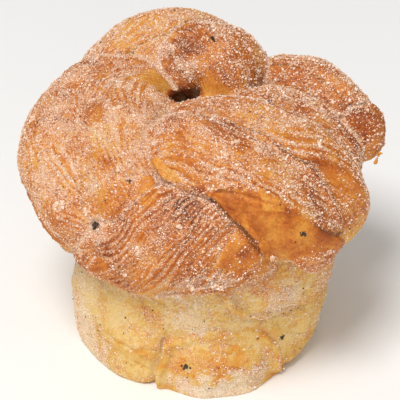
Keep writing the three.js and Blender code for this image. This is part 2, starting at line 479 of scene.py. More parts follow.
ROLLS = (
    Roll(0, "left", ((104, 17, 57), (140, 25, 55), (173, 28.5, 49.5), (203, 27, 44.5), (229, 24, 39)),
         16.7, 16.6, 0.53, 7, 0.1, 0.5, lay=0.12, relief=1.2, brown=0.51, sugar=0.84, pitch=1.6),
    Roll(1, "inner",
         ((108, 12, 56), (150, 16.5, 56.5), (202, 18.5, 54), (228, 23.5, 51.5), (246, 29.5, 45.5)),
         13.5, 13.2, 0.5, 6, 0.1, 0.2, lay=0.1, relief=0.8, brown=0.5, sugar=0.8, pitch=1.6),
    Roll(2, "outer back", ((158, 25.5, 49), (131, 29.5, 57), (108, 30.2, 60.8), (88, 29.5, 58), (66, 27, 47)),
         13.8, 13.4, 0.5, 6, 0.2, 0.4, lay=0.2, relief=0.7, brown=0.48, sugar=0.75),
    Roll(3, "back", ((38, 6.5, 56.5), (61, 12, 61.5), (77, 18.3, 64), (84, 24, 61.3), (84, 26.5, 51)),
         15.2, 12, 0.68, 6, 0.3, 0.4, lay=0.3, relief=0.7, brown=0.56, sugar=0.38),
    Roll(4, "right back", ((66, 25, 48.5), (45, 30, 54), (27, 35.5, 54.5), (14, 40.5, 51)),
         12.5, 11, 0.5, 5, 0.2, 0.4, lay=0.2, relief=0.7, brown=0.55, sugar=0.4),
    Roll(5, "right end", ((28, 28, 46), (17, 37, 50.5), (11, 47, 51)),
         9.5, 8.5, 0.6, 5, 0.1, 0.4, lay=0.1, relief=0.5, brown=0.6, sugar=0.22),
    Roll(6, "right inner", ((290, 4, 57), (350, 9, 59.5), (8, 20, 58), (2, 32, 51), (0, 38, 44)),
         10, 8, 0.5, 5, 0.1, 0.3, lay=0.1, relief=0.6, brown=0.52, sugar=0.5),
    Roll(7, "upper band",
         ((230, 11, 57.5), (280, 8, 61), (327, 19.5, 57), (337, 31.5, 49.5), (343, 34.5, 41), (346, 34, 32)),
         12.5, 10.8, 0.5, 6, 0.1, 0.5, lay=0.1, relief=0.9, brown=0.52, sugar=0.6, pitch=2.6),
    Roll(8, "lower band",
         ((222, 16, 57.5), (258, 15.5, 60), (287, 22.5, 57.5), (302, 29, 52.5), (315, 32.5, 46.5),
          (329, 34, 39)),
         12.5, 11.5, 0.46, 6, 0.15, 0.5, lay=0.1, relief=1.0, brown=0.54, sugar=0.58, pitch=2.4),
    Roll(9, "cut face",
         ((270, 28.5, 60), (283, 32, 58), (296, 35, 53.2), (307, 36.8, 47), (317, 37.2, 41), (328, 36.2, 36)),
         7, 9.5, 0.7, 3, 0, 0.85, turn=-0.458, lay=0, relief=0.25, brown=0.63, sugar=0, pitch=3),
    Roll(10, "front", ((205, 33, 35), (231, 28.8, 39.5), (262, 27.8, 45.5), (287, 28.4, 45), (309, 28.6, 39)),
         14.2, 11.5, 0.55, 7, 0.5, 0.5, lay=0.8, relief=1.4, brown=0.61, sugar=0.54, fan=2.2, pitch=1.7),
    Roll(11, "neck", ((270, 25, 28), (302, 28.2, 30), (328, 29.4, 29), (353, 28.8, 27), (380, 26.5, 28)),
         10, 6.5, 0.5, 5, 0.1, 0.5, lay=0.1, relief=0.5, brown=0.26, sugar=0.45),
    Roll(12, "under back", ((10, 29.7, 38), (50, 31.2, 41), (86, 31.1, 42), (122, 30.5, 42), (160, 29, 40)),
         12, 11, 0.5, 6, 0.3, 0.4, lay=0.3, relief=0.6, brown=0.42, sugar=0.5),
    Roll(13, "base left", ((215, 23, -10), (212, 23.3, 10), (210, 22, 36)),
         19, 9.5, 0.5, 6, 0, 0.2, lay=0, relief=0.2, brown=0.14, sugar=0.36),
    Roll(14, "base front", ((240, 19.6, 6), (258, 21.8, 6), (280, 22.3, 6), (302, 21.8, 6), (318, 19.4, 6)),
         18, 11, 0.5, 6, 0, 0.2, lay=0, relief=0.2, brown=0.24, sugar=0.26),
    Roll(15, "base right", ((334, 21, -4), (336, 23.5, 12), (340, 24.5, 32)),
         13, 9.5, 0.5, 6, 0, 0.2, lay=0, relief=0.2, brown=0.2, sugar=0.26),
    Roll(16, "base back", ((50, 22, -6), (55, 23, 14), (60, 23.5, 32)),
         19, 9.5, 0.5, 6, 0, 0.2, lay=0, relief=0.2, brown=0.18, sugar=0.35),
    Roll(17, "base back left", ((130, 22, -6), (130, 23, 14), (128, 23.5, 32)),
         19, 9.5, 0.5, 6, 0, 0.2, lay=0, relief=0.2, brown=0.18, sugar=0.35),
)


@dataclass(frozen=True)
class Ledge:
    """A roll's edge that stands proud of the rolls it lies over.

    Attributes:
        over: The roll that lies on top.
        under: The rolls that it lies over.
        height: How far it stands proud.
        sugar: How much sugar lies along its foot.
        shade: How much painted shade darkens its foot, in the crease below the edge, as added browning.
        rim: How much darker the edge itself baked.
    """

    over: str
    under: tuple[str, ...]
    height: float
    sugar: float = 0
    shade: float = 0
    rim: float = 0


# A ledge's shade is painted shade in the crease at its foot
LEDGES = (
    Ledge("lower band", ("cut face",), 0.6, shade=0.05, rim=-0.05),
    Ledge("lower band", ("inner", "left", "front"), 0.6, sugar=0.3, shade=0.12),
    Ledge("lower band", ("upper band", "heart"), 1.2, sugar=2.8, rim=0.2),
    Ledge("upper band", ("right inner", "right back", "right end", "heart"), 0.7, sugar=1.6),
    Ledge("right inner", ("right back", "right end"), 0.5, sugar=1.4),
    Ledge("right back", ("right end",), 0.6, sugar=1.4),
    Ledge("cut face", ("front", "neck", "heart"), 1.3, shade=0.28),
    Ledge("front", ("neck", "heart", "base left", "base front"), 0.4, sugar=0.3, shade=0.1),
    Ledge("back", ("inner", "left", "outer back", "right back"), 0.4, sugar=1.3, shade=0.05),
    Ledge("inner", ("front",), 0.3, sugar=0.6, shade=0.05),
    Ledge("left", ("front", "outer back"), 0.3, sugar=1.0),
    Ledge("neck", ("base left", "base front", "base right", "heart"), 1.1, shade=0.24),
    Ledge("base front", ("base left",), 1.2, shade=0.16),
    Ledge("base front", ("heart", "base right"), 0.7, shade=0.12),
)
GROWN_TOGETHER = ("left", "inner")
# Relief, browning, sugar and pitch of the heart's own skin
HEART_CRUST = (0.2, 0.14, 0.28, 2)


def crust_at(tree: BVHTree, azimuth: float, lift: float) -> tuple[Array, Array]:
    """Finds where a line from the middle of the knot leaves the crust.

    Args:
        tree: The dough's faces.
        azimuth: The line's direction around the bun's axis, in degrees.
        lift: Its direction above level, in degrees.

    Returns:
        The place and the crust's normal there.
    """
    azimuth, lift = math.radians(azimuth), math.radians(lift)
    flat = math.cos(lift)
    way = np.array([flat * math.cos(azimuth), flat * math.sin(azimuth), math.sin(lift)])
    start = np.array([0, 0, HEART.knot_height]) + OUTSIDE * way
    place, normal, *_ = tree.ray_cast(Vector(start), Vector(-way))
    return np.array(place), np.array(normal)


class Show(Enum):
    """What a marked spot on the crust shows."""

    BARE = "glazed skin that took little sugar"
    HEAPED = "sugar that lies thick"
    BROWNED = "skin that baked darker"
    PALE = "skin that baked less"


@dataclass(frozen=True)
class Spot:
    """A spot on the crust, seen from the middle of the knot.

    Attributes:
        azimuth: Its direction around the bun's axis, in degrees.
        lift: Its direction above level, in degrees.
        size: How far it reaches, in millimetres.
        strength: How strongly it shows.
    """

    azimuth: float
    lift: float
    size: float
    strength: float = 1


SPOTS = {
    Show.BARE: (
        Spot(140, 59, 5),
        Spot(59, 75, 4),
        Spot(248, 24, 3),
        Spot(233, 16, 5, 0.7),
        Spot(239, 22, 4, 0.6),
        Spot(211, 6, 5, 0.5),
        Spot(5, 17, 6, 0.5),
        Spot(327, 14, 11, 0.3),
        Spot(341, 17, 9, 0.5),
        Spot(333, -2, 11, 0.6),
    ),
    Show.HEAPED: (
        Spot(222, 53, 6, 0.35),
        Spot(215, 71, 3, 0.5),
        Spot(108, 68, 2.5, 0.7),
        Spot(112, 65, 2.5, 0.7),
        Spot(118, 55, 2.5, 0.5),
        Spot(198, 18, 9, 0.12),
        Spot(248, 4, 2.5, 0.3),
        Spot(266, -9, 3.5, 0.5),
        Spot(277, -9, 3.5, 0.6),
        Spot(257, -22, 3, 0.8),
        Spot(207, 11, 3, 0.3),
        Spot(212, 9, 3.5, 0.3),
        Spot(228, 4, 3, 0.7),
        Spot(311, -6, 5, 0.25),
        Spot(264, -33, 6, 0.6),
        Spot(308, -29, 6, 0.4),
        Spot(264, -51.7, 3.5, 0.9),
        Spot(271, -51.7, 4, 1.2),
        Spot(279, -51.7, 4, 1.2),
        Spot(287, -51.7, 4, 1),
        Spot(295, -51.5, 3.5, 0.7),
        Spot(206, -49, 9, 0.7),
        Spot(200, -35, 8, 0.5),
    ),
    Show.BROWNED: (
        Spot(94, 60, 7, 0.8),
        Spot(116, 60, 6, 0.6),
        Spot(291, 52, 6, 0.5),
        Spot(358, 44, 6, 0.6),
        Spot(263, 19, 7, 0.8),
        Spot(327, 14, 11, 0.6),
        Spot(341, 17, 9, 0.3),
        Spot(5, 17, 7, 0.8),
        Spot(298, -18, 4, 0.9),
        Spot(233, 15, 5, 0.35),
        Spot(211, 6, 5, 0.4),
        Spot(286, 5, 2, 0.9),
        Spot(279, 1, 2, 0.9),
    ),
    Show.PALE: (
        Spot(122, 45, 8, 0.7),
        Spot(157, 49, 6, 0.3),
        Spot(140, 59, 5, 0.8),
        Spot(59, 75, 4, 0.9),
        Spot(248, 24, 3, 0.9),
        Spot(270, -51.7, 5, 1),
        Spot(284, -51.7, 5, 1),
    ),
}


@dataclass(frozen=True)
class Flake:
    """A smooth shard of crust without sugar, that has come away along its edges.

    Attributes:
        corners: Its corners in turn, each by azimuth and lift in degrees, seen from the middle of the knot.
        height: How far it stands up.
        brown: How brown it baked.
    """

    corners: tuple[tuple[float, float], ...]
    height: float
    brown: float

    def inside(self, points: Array) -> Array:
        """Works out how far points lie inside the flake's edges.

        Args:
            points: Points on the crust.

        Returns:
            Millimetres, less than nothing outside.
        """
        corners = np.array(self.corners, dtype=float)
        middle = corners.mean(axis=0)
        x, y, z = (points - (0, 0, HEART.knot_height)).T
        seen = np.degrees(np.column_stack([np.arctan2(y, x), np.arctan2(z, np.hypot(x, y))])) - middle
        seen[:, 0] = np.mod(seen[:, 0] + 180, 360) - 180
        narrow = np.array([math.cos(math.radians(middle[1])), 1])
        seen, corners = seen * narrow, (corners - middle) * narrow
        depth = np.full(len(points), np.inf)
        for one, two in zip(corners, np.roll(corners, -1, axis=0)):
            along = (two - one) / np.linalg.norm(two - one)
            depth = np.minimum(depth, along[1] * (seen[:, 0] - one[0]) - along[0] * (seen[:, 1] - one[1]))
        return np.radians(depth) * np.linalg.norm(points - (0, 0, HEART.knot_height), axis=1)


FLAKES = (
    Flake(((292, 28), (298, 23), (300, 18), (293, 20)), 0.25, 0.44),
    Flake(((286, 26), (288, 28), (292, 26), (293, 23), (289, 23)), 0.1, 0.62),
    Flake(((241, 37), (246, 40), (257, 35), (263, 31), (254, 30), (246, 33)), 0.4, 0.4),
    Flake(((240, 28), (242, 31), (245, 31), (248, 28), (247, 25), (243, 24)), 0.4, 0.5),
    Flake(((286, 17), (294, 6), (291, -1), (285, -4), (275, 0), (278, 7)), 0.1, 0.56),
)


class Net:
    """The neighbours of a mesh's points, for spreading values over it."""

    def __init__(self, mesh: bpy.types.Mesh, spacing: float) -> None:
        """Reads the mesh's edges.

        Args:
            mesh: The mesh, closed.
            spacing: How far apart its points lie, in millimetres.
        """
        ends = np.empty(2 * len(mesh.edges), dtype=np.int32)
        mesh.edges.foreach_get("vertices", ends)
        one = np.concatenate([ends[::2], ends[1::2]])
        other = np.concatenate([ends[1::2], ends[::2]])
        by_one = np.argsort(one, kind="stable")
        self.one, self.other = one[by_one], other[by_one]
        self.count = len(mesh.vertices)
        self.degree = np.bincount(self.one, minlength=self.count)
        self.start = np.concatenate([[0], np.cumsum(self.degree)[:-1]])
        self.spacing = spacing

    def spread(self, values: Array, reach: float) -> Array:
        """Averages values with those around them.

        Args:
            values: One value or one row for each point.
            reach: How far they spread, in millimetres.

        Returns:
            The smoothed values.
        """
        columns = values.reshape(self.count, -1).T.astype(float)
        for _ in range(max(1, round((2 * reach / self.spacing) ** 2))):
            for k, column in enumerate(columns):
                around = np.add.reduceat(column[self.other], self.start)
                columns[k] = 0.5 * column + 0.5 * around / self.degree
        return columns.T.reshape(values.shape)


# Dough


class Pattern(Enum):
    """Patterns of soft noise in the dough, each by its seed and its size in millimetres.

    A size of 1 is for coordinates that are in lattice steps already.
    """

    LAYER = 1, 1
    STRENGTH = 17, 1
    PLY = 2, (3.6, 20, 1)
    BLISTER = 3, 5
    BROAD_BLISTER = 4, 10
    GRAIN = 5, 1.3
    WANDER = 11, 7
    FINE_WANDER = 12, 2.8
    SWAY_X = 13, 3
    SWAY_Y = 14, 3
    SWAY_Z = 15, 3
    WRINKLE = 23, (14, 3.5, 1)
    FLAKE_EDGE = 20, 1.5
    SPOT_EDGE = 7, 2.5
    SPECKLED_EDGE = 21, 1.1
    PATCH = 6, 11
    SMALL_PATCH = 18, 4
    MOTTLE = 25, 1.4
    FINE_MOTTLE = 26, 0.8
    STAIN = 16, 3.5
    SMALL_STAIN = 19, 1.4
    HEAP = 8, 5
    SMALL_HEAP = 9, 2.2
    FINE_HEAP = 24, 1.2

    def at(self, points: Array) -> Array:
        """Reads the pattern at points."""
        seed, size = self.value
        return SoftNoise(seed).at(points / size)


@dataclass(frozen=True)
class Baking:
    """How strongly each thing browned the skin or painted shade on it, and how thickly it holds sugar.

    Browning goes from 0 for pale skin to 1 for nearly black, and sugar from 0 for none to 1 for a full coat.

    Attributes:
        crown: Heights between which the skin that the tin covered turns to the open crown's.
        patch: Browning of broad and of small patches.
        base_patch: How much more strongly these show below the crown.
        mottle: Browning of coarse and of fine mottles below the crown.
        layer_edge: Browning of the layers' edges.
        hollow_pale: What a hollow lacks in browning.
        upward: Browning of what faces up.
        overhang_pale: What the underside of the overhang lacks in browning.
        flake_patch: How strongly the patches show on flakes.
        flake_line: Painted shade on the line around a flake, as added browning.
        browned_spot: Browning of a browned spot.
        pale_spot: What a pale spot lacks in browning.
        stain: Browning of butter stains where no sugar lies.
        pit: The browning that stands as painted shade inside the hole, in place of the skin's own.
        pit_width: Shares of the hole's radius between which that starts.
        pit_height: Heights between which that starts.
        coat: How thick an even coat of sugar is.
        heaps: How unevenly it lies, in broad, small and fine heaps.
        heaps_below: How much of that shows below the crown, and how much less on it.
        layer_sugar: How much more of it lies between the layers' edges.
        coat_limits: The thinnest and the thickest coat.
        sheltered: How much of it stays on what faces down.
        hollow_sugar: How much more lies in a hollow.
        bare_spot: How much of it a bare spot lacks.
        heaped_spot: How much more lies on a heaped spot.
        flake_bare: How much of it a flake lacks.
        dust: How much powder the coat leaves on the skin, and the most of it.
    """

    crown: tuple[float, float] = (28, 38)
    patch: tuple[float, float] = (0.1, 0.1)
    base_patch: float = 0.4
    mottle: tuple[float, float] = (0.16, 0.1)
    layer_edge: float = 0.2
    hollow_pale: float = 0.1
    upward: float = 0.05
    overhang_pale: float = 0.25
    flake_patch: float = 0.5
    flake_line: float = 0.12
    browned_spot: float = 0.2
    pale_spot: float = 0.18
    stain: float = 0.13
    pit: float = 1.05
    pit_width: tuple[float, float] = (1.6, 1.25)
    pit_height: tuple[float, float] = (66.5, 63.5)
    coat: float = 0.65
    heaps: tuple[float, float, float] = (0.35, 0.5, 0.45)
    heaps_below: tuple[float, float] = (1.8, 0.85)
    layer_sugar: float = 2.6
    coat_limits: tuple[float, float] = (0.03, 1.7)
    sheltered: float = 0.45
    hollow_sugar: float = 0.3
    bare_spot: float = 0.93
    heaped_spot: float = 1.2
    flake_bare: float = 0.86
    dust: tuple[float, float] = (0.66, 1.3)


@dataclass
class KnottedDough:
    """The bun's dough: the rolls grown together, with the relief of their layers.

    Attributes:
        grid: How far apart the points lie that the dough is worked out at.
        triangles: How many triangles are kept of it.
        spacing: How far apart the points lie that the rolls are drawn with.
        slab: Half the width, and the depth, of the block that cuts the underside flat.
        soften: How far the creases between rolls are rounded.
        join: How far the crease is filled between rolls that have grown together.
        border: How far the borders between rolls are straightened.
        off_roll: How far from every roll's skin a point belongs to the heart.
        heart_shows: Distances from the rolls' skin between which the crust turns to the heart's.
        roll_apart: How far apart the rolls lie in the patterns of their layers.
        hollow: How far around the skin is compared with, and how deep a full hollow is.
        sink: How much deeper a full hollow is pressed.
        step: How high a layer's edge stands, and how far along it stays the same.
        ply: Height of the thicker plies.
        wander: How far the layers' edges sway, broadly and finely.
        ragged: How far the borders of browning and sugar sway.
        blister: Height of swellings.
        grain: Height of the skin's roughness.
        wrinkle: Depth of the wrinkles below the crown.
        ledge_seed: Sets how uneven the ledges are.
        ledge_uneven: Over what distance they are uneven.
        baking: How it browned and took sugar.
        piece: The finished object.
        net: The neighbours of its points, before it is thinned out.
        points: Its points.
        normals: Its normals at them.
        values: What else is known at them, by name.
    """

    grid: float = 0.42
    triangles: int = 196000
    spacing: float = 1.0
    slab: tuple[float, float] = (90, 60)
    soften: float = 0.5
    join: float = 5
    border: float = 0.9
    off_roll: float = 1.5
    heart_shows: tuple[float, float] = (1, 2.5)
    roll_apart: float = 10
    hollow: tuple[float, float] = (1.9, 0.7)
    sink: float = 0.8
    step: tuple[float, float] = (0.42, 13)
    ply: float = 0.6
    wander: tuple[float, float] = (1.2, 0.36)
    ragged: float = 1.4
    blister: float = 0.35
    grain: float = 0.12
    wrinkle: float = 0.3
    ledge_seed: int = 40
    ledge_uneven: float = 3
    baking: Baking = field(default_factory=Baking)
    piece: bpy.types.Object = field(init=False)
    net: Net = field(init=False)
    points: Array = field(init=False)
    normals: Array = field(init=False)
    values: dict[str, Array] = field(init=False, default_factory=dict)

    def build(self) -> None:
        """Makes the dough and works out how it baked."""
        mesh = self.grown_together()
        self.piece = new_object("bun_dough", mesh)
        self.net = Net(mesh, self.grid)
        self.read(mesh)
        self.points = self.net.spread(self.points, self.soften)
        self.write(mesh)
        self.lay_on_rolls()
        self.fill_join()
        self.write(mesh)
        self.raise_ledges()
        self.write(mesh)
        self.part_flakes()
        self.raise_layers()
        self.write(mesh)
        self.bake()
        for name in ("brown", "dust", "hollow", "relief", "sugar"):
            add_values(mesh, name, self.values[name])
        layers = mesh.attributes.new("layers", "FLOAT_VECTOR", "POINT")
        layers.data.foreach_set("vector", self.values["layers"].astype(np.float32).ravel())
        self.thin_out()

    def thin_out(self) -> None:
        """Keeps the triangles that the relief needs."""
        full = self.piece.data
        modifier = self.piece.modifiers.new("thin out", "DECIMATE")
        modifier.ratio = self.triangles / (2 * len(full.polygons))
        depsgraph = bpy.context.evaluated_depsgraph_get()
        mesh = bpy.data.meshes.new_from_object(
            self.piece.evaluated_get(depsgraph), preserve_all_data_layers=True, depsgraph=depsgraph
        )
        self.piece.modifiers.clear()
        self.piece.data = mesh
        bpy.data.meshes.remove(full)
        mesh.name = self.piece.name
        mesh.shade_smooth()
        self.read(mesh)
        for name in ("brown", "sugar"):
            self.values[name] = np.empty(len(mesh.vertices), dtype=np.float32)
            mesh.attributes[name].data.foreach_get("value", self.values[name])

    def read(self, mesh: bpy.types.Mesh) -> None:
        """Reads the points, in millimetres, and the normals.

        Args:
            mesh: The dough's mesh.
        """
        points = np.empty(3 * len(mesh.vertices), dtype=np.float32)
        normals = np.empty_like(points)
        mesh.vertices.foreach_get("co", points)
        mesh.vertex_normals.foreach_get("vector", normals)
        self.points = points.reshape(-1, 3).astype(float) / MM
        self.normals = normals.reshape(-1, 3).astype(float)

    def write(self, mesh: bpy.types.Mesh) -> None:
        """Puts the points back, none of them below the flat underside.

        Args:
            mesh: The dough's mesh.
        """
        self.points[:, 2] = np.maximum(self.points[:, 2], 0)
        mesh.vertices.foreach_set("co", (self.points * MM).astype(np.float32).ravel())
        mesh.update()
        self.read(mesh)

    def grown_together(self) -> bpy.types.Mesh:
        """Joins the heart and the rolls on an even grid, with the hole and the flat underside cut.

        Returns:
            The dough's mesh, still smooth.
        """
        parts = [HEART.body(), *(roll.skin(self.spacing)[:2] for roll in ROLLS)]
        starts = np.cumsum([0, *(len(points) for points, _ in parts)])
        faces = np.vstack([face + start for (_, face), start in zip(parts, starts)])
        lump = new_object("lump", new_mesh("lump", np.vstack([points for points, _ in parts]), faces))
        hole_points, hole_faces = HEART.hole()
        half, deep = self.slab
        slab = np.array(list(itertools.product((-half, half), (-half, half), (-deep, 0))), dtype=float)
        cutter_faces = np.vstack([hole_faces, Form.CUBE.faces() + len(hole_points)])
        cutter = new_object("cutter", new_mesh("cutter", np.vstack([hole_points, slab]), cutter_faces))
        for name in ("even", "cut", "even again"):
            modifier = lump.modifiers.new(name, "BOOLEAN" if name == "cut" else "REMESH")
            if name == "cut":
                modifier.operation, modifier.solver, modifier.object = "DIFFERENCE", "MANIFOLD", cutter
            else:
                modifier.mode, modifier.voxel_size = "VOXEL", self.grid * MM
        depsgraph = bpy.context.evaluated_depsgraph_get()
        mesh = bpy.data.meshes.new_from_object(lump.evaluated_get(depsgraph))
        for helper in (lump, cutter):
            bpy.data.objects.remove(helper)
        mesh.name = "bun_dough"
        return mesh

    def lay_on_rolls(self) -> None:
        """Finds the roll that each point lies on, where on it, and what the roll says of its crust."""
        skins = [roll.skin(1.5 * self.spacing) for roll in ROLLS]
        owner = np.repeat(np.arange(len(skins)), [len(points) for points, _, _ in skins])
        along = np.concatenate([share for _, _, share in skins])
        tree = KDTree(len(owner))
        for number, point in enumerate(np.vstack([points for points, _, _ in skins])):
            tree.insert(point, number)
        tree.balance()
        found = [tree.find(point) for point in self.points]
        near = np.array([number for _, number, _ in found])
        gap = np.array([distance for _, _, distance in found])
        number_of = np.where(gap > self.off_roll, -1, owner[near])
        is_on = [(number_of == number).astype(float) for number in range(-1, len(skins))]
        number_of = np.argmax([self.net.spread(on, self.border) for on in is_on], axis=0) - 1
        sways = (Pattern.SWAY_X, Pattern.SWAY_Y, Pattern.SWAY_Z)
        sway = np.column_stack([pattern.at(self.points) for pattern in sways]) * self.ragged
        ragged = owner[[tree.find(point)[1] for point in self.points + sway]]
        layers = np.zeros_like(self.points)
        crust = np.zeros((len(near), 4))
        for roll in ROLLS:
            mine = owner[near] == roll.order
            layers[mine, :2] = roll.skin_place(self.points[mine], along[near[mine]])
            layers[mine, 2] = self.roll_apart * roll.order
            crust[ragged == roll.order] = roll.crust()
        # A roll without sugar, such as the cut face, keeps its clean border
        for roll in ROLLS:
            if roll.sugar == 0:
                crust[number_of == roll.order] = roll.crust()
        on_heart = smoothstep(*self.heart_shows, gap)[:, None]
        crust = crust * (1 - on_heart) + on_heart * HEART_CRUST
        relief, brown, sugar, pitch = self.net.spread(crust, 0.4).T
        self.values.update(layers=layers, relief=relief, brown=brown, sugar=sugar, pitch=pitch)
        self.values["owner"] = number_of

    def share(self, names: tuple[str, ...], reach: float) -> Array:
        """Gives the share of the crust around each point that belongs to the named rolls.

        Args:
            names: Names of rolls, or heart.
            reach: How far around, in millimetres.

        Returns:
            One share for each point.
        """
        numbers = [roll.order for roll in ROLLS if roll.name in names] + [-1] * ("heart" in names)
        return self.net.spread(np.isin(self.values["owner"], numbers).astype(float), reach)

    def fill_join(self) -> None:
        """Fills the crease between the rolls that have grown together."""
        one, other = (self.share((name,), 0.6 * self.join) for name in GROWN_TOGETHER)
        grown = np.clip(2.5 * np.minimum(one, other), 0, 1)
        self.points = self.points + grown[:, None] * (self.net.spread(self.points, self.join) - self.points)
        self.values["grown"] = grown

    def raise_ledges(self) -> None:
        """Raises the edges that stand proud of what they lie over, and sinks what lies under them."""
        way = unit(self.net.spread(self.normals, 0.8))
        sweet, dark, clean = (np.zeros(self.net.count) for _ in range(3))
        for number, ledge in enumerate(LEDGES):
            over, under = (self.share(names, 1.0) for names in ((ledge.over,), ledge.under))
            near = np.minimum(self.share((ledge.over,), 2), self.share(ledge.under, 2))
            near = smoothstep(0.03, 0.3, near) * smoothstep(0.3, 0.6, over + under)
            side = over / np.maximum(over + under, 1e-6)
            uneven = 1 + 0.5 * SoftNoise(self.ledge_seed + number).at(self.points / self.ledge_uneven)
            rise = ledge.height * near * uneven * (1.5 * smoothstep(0.35, 0.65, side) - 0.5)
            self.points = self.points + way * rise[:, None]
            foot = near * smoothstep(0.04, 0.22, side) * smoothstep(0.55, 0.45, side)
            edge = near * smoothstep(0.5, 0.6, side) * smoothstep(0.97, 0.8, side)
            sweet += ledge.sugar * foot * uneven
            # Painted shade on the ledge's foot, plus the darker browning of its rim
            dark += ledge.shade * foot + ledge.rim * edge
            clean += max(0, 3 * ledge.rim) * edge
        self.values.update(sweet=sweet, dark=dark, clean=np.minimum(clean, 0.8))

    def part_flakes(self) -> None:
        """Finds the flakes, how high they stand and how brown they are, and the shaded line round them."""
        flake, rise, brown, line = (np.zeros(self.net.count) for _ in range(4))
        ragged = 0.25 * Pattern.FLAKE_EDGE.at(self.points)
        for shard in FLAKES:
            inside = shard.inside(self.points) + ragged
            mask = smoothstep(-0.25, 0.25, inside)
            flake, rise = np.maximum(flake, mask), rise + shard.height * mask
            brown = brown * (1 - mask) + shard.brown * mask
            # A painted shadow line round each flake, stronger round the higher ones
            line = np.maximum(line, smoothstep(-1.2, -0.3, inside) * (1 - mask) * min(1, 2 * shard.height))
        self.values.update(flake=flake, rise=rise, flake_brown=brown, line=line)

    def raise_layers(self) -> None:
        """Raises the layers' edges, plies and blisters out of the skin, and marks where it is hollow."""
        points, spread = self.points, self.net.spread
        layers, relief, owner = (self.values[name] for name in ("layers", "relief", "owner"))
        broad, fine = self.wander
        layers[:, 0] += broad * Pattern.WANDER.at(points) + fine * Pattern.FINE_WANDER.at(points)
        differs = (owner[self.net.one] != owner[self.net.other]).astype(float)
        seam = np.clip(2.5 * spread(np.maximum.reduceat(differs, self.net.start), 0.6), 0, 1)
        reach, depth = self.hollow
        hollow = np.sum((spread(points, reach) - points) * self.normals, axis=1) / depth
        hollow = np.clip(spread(hollow, 0.4), -1, 1) * (1 - self.values["grown"])
        # Each layer's edge rises slowly and drops fast, and strong relief is made of shorter edges
        height, length = self.step
        across = layers[:, 0] / self.values["pitch"]
        length = length * (1 - 1.6 * np.clip(relief - 1.1, 0, 0.3))
        lattice = np.column_stack([across / 2.2, layers[:, 1] / length, layers[:, 2]])
        phase = np.mod(across + Pattern.LAYER.at(lattice), 1)
        strength = np.clip(0.55 + 1.2 * Pattern.STRENGTH.at(lattice * (0.7, 1.2, 1) + 5), 0, 1.3)
        edge = np.where(phase < 0.75, phase / 0.75, (1 - phase) / 0.25)
        ply = (0.3 - np.abs(Pattern.PLY.at(layers))) * self.ply
        lumps = Pattern.BLISTER.at(points) * self.blister + Pattern.BROAD_BLISTER.at(points) * self.blister
        bare = 1 - self.values["flake"]
        layered = relief * (1 - seam) * bare * ((edge - 0.5) * strength * height + ply)
        rough = Pattern.GRAIN.at(points) * self.grain
        rough = rough * (1 + 3 * np.clip(relief - 1, 0, 1)) * (0.3 + 0.7 * bare)
        rise = layered + lumps * (0.4 + 0.6 * relief) + rough - self.sink * np.clip(hollow, 0, 1) ** 2
        rise = rise + self.values["rise"] + self.wrinkles()
        rise = rise * smoothstep(0, 2, points[:, 2])
        self.points = points + unit(spread(self.normals, 0.5)) * rise[:, None]
        strength = strength * np.minimum(relief, 1) * (1 - seam)
        self.values.update(hollow=hollow, edge=edge, strength=strength, seam=seam)

    def wrinkles(self) -> Array:
        """Gives the shallow wrinkles of the pale skin below the crown, where it slid along the tin.

        Returns:
            How far each point rises, nothing or less.
        """
        x, y, z = self.points.T
        around = np.arctan2(y, x) * HEART.base_radius
        lines = Pattern.WRINKLE.at(np.column_stack([around, z + 0.25 * around, np.zeros_like(z)]))
        return -self.wrinkle * smoothstep(0.12, 0, np.abs(lines)) * smoothstep(36, 28, z)

    def marks(self) -> dict[Show, Array]:
        """Gives how far each point is marked by the spots of each kind.

        Returns:
            One value for each point, by what the spots show.
        """
        faces = [face.vertices for face in self.piece.data.polygons]
        tree = BVHTree.FromPolygons([Vector(point) for point in self.points], faces)
        uneven = 0.3 * Pattern.SPOT_EDGE.at(self.points)
        scattered = uneven + 0.7 * Pattern.SPECKLED_EDGE.at(self.points)
        marks = {show: np.zeros(len(self.points)) for show in Show}
        for show, spots in SPOTS.items():
            for spot in spots:
                place, _ = crust_at(tree, spot.azimuth, spot.lift)
                away = np.linalg.norm(self.points - place, axis=1) / spot.size
                away = away + (scattered if show is Show.HEAPED else uneven)
                marks[show] = np.maximum(marks[show], spot.strength * smoothstep(1.25, 0.65, away))
        return marks

    def bake(self) -> None:
        """Works out how brown, dusted and sugared each point is, with painted shade in the hole."""
        values, baking, height = self.values, self.baking, self.points[:, 2]
        marks = self.marks()
        values["hollow"] = np.clip(values["hollow"], 0, 1)
        crown = smoothstep(*baking.crown, height)
        aside = np.linalg.norm(self.points[:, :2] - HEART.hole_place, axis=1) / HEART.hole_radius
        pit = smoothstep(*baking.pit_width, aside) * smoothstep(*baking.pit_height, height) * crown
        # Inside the hole the skin is painted near black as shade
        brown = self.browned(marks, crown) * (1 - pit) + baking.pit * pit
        sugar = self.sugared(marks, crown, pit)
        share, most = baking.dust
        dust = np.clip(share * self.net.spread(sugar, 0.3), 0, most)
        values.update(brown=brown, sugar=sugar, dust=dust, hollow=values["hollow"] * (1 - 0.7 * crown))
        values["relief"] = np.minimum(values["relief"], 0.8) * (1 - values["flake"]) * (1 - values["seam"])

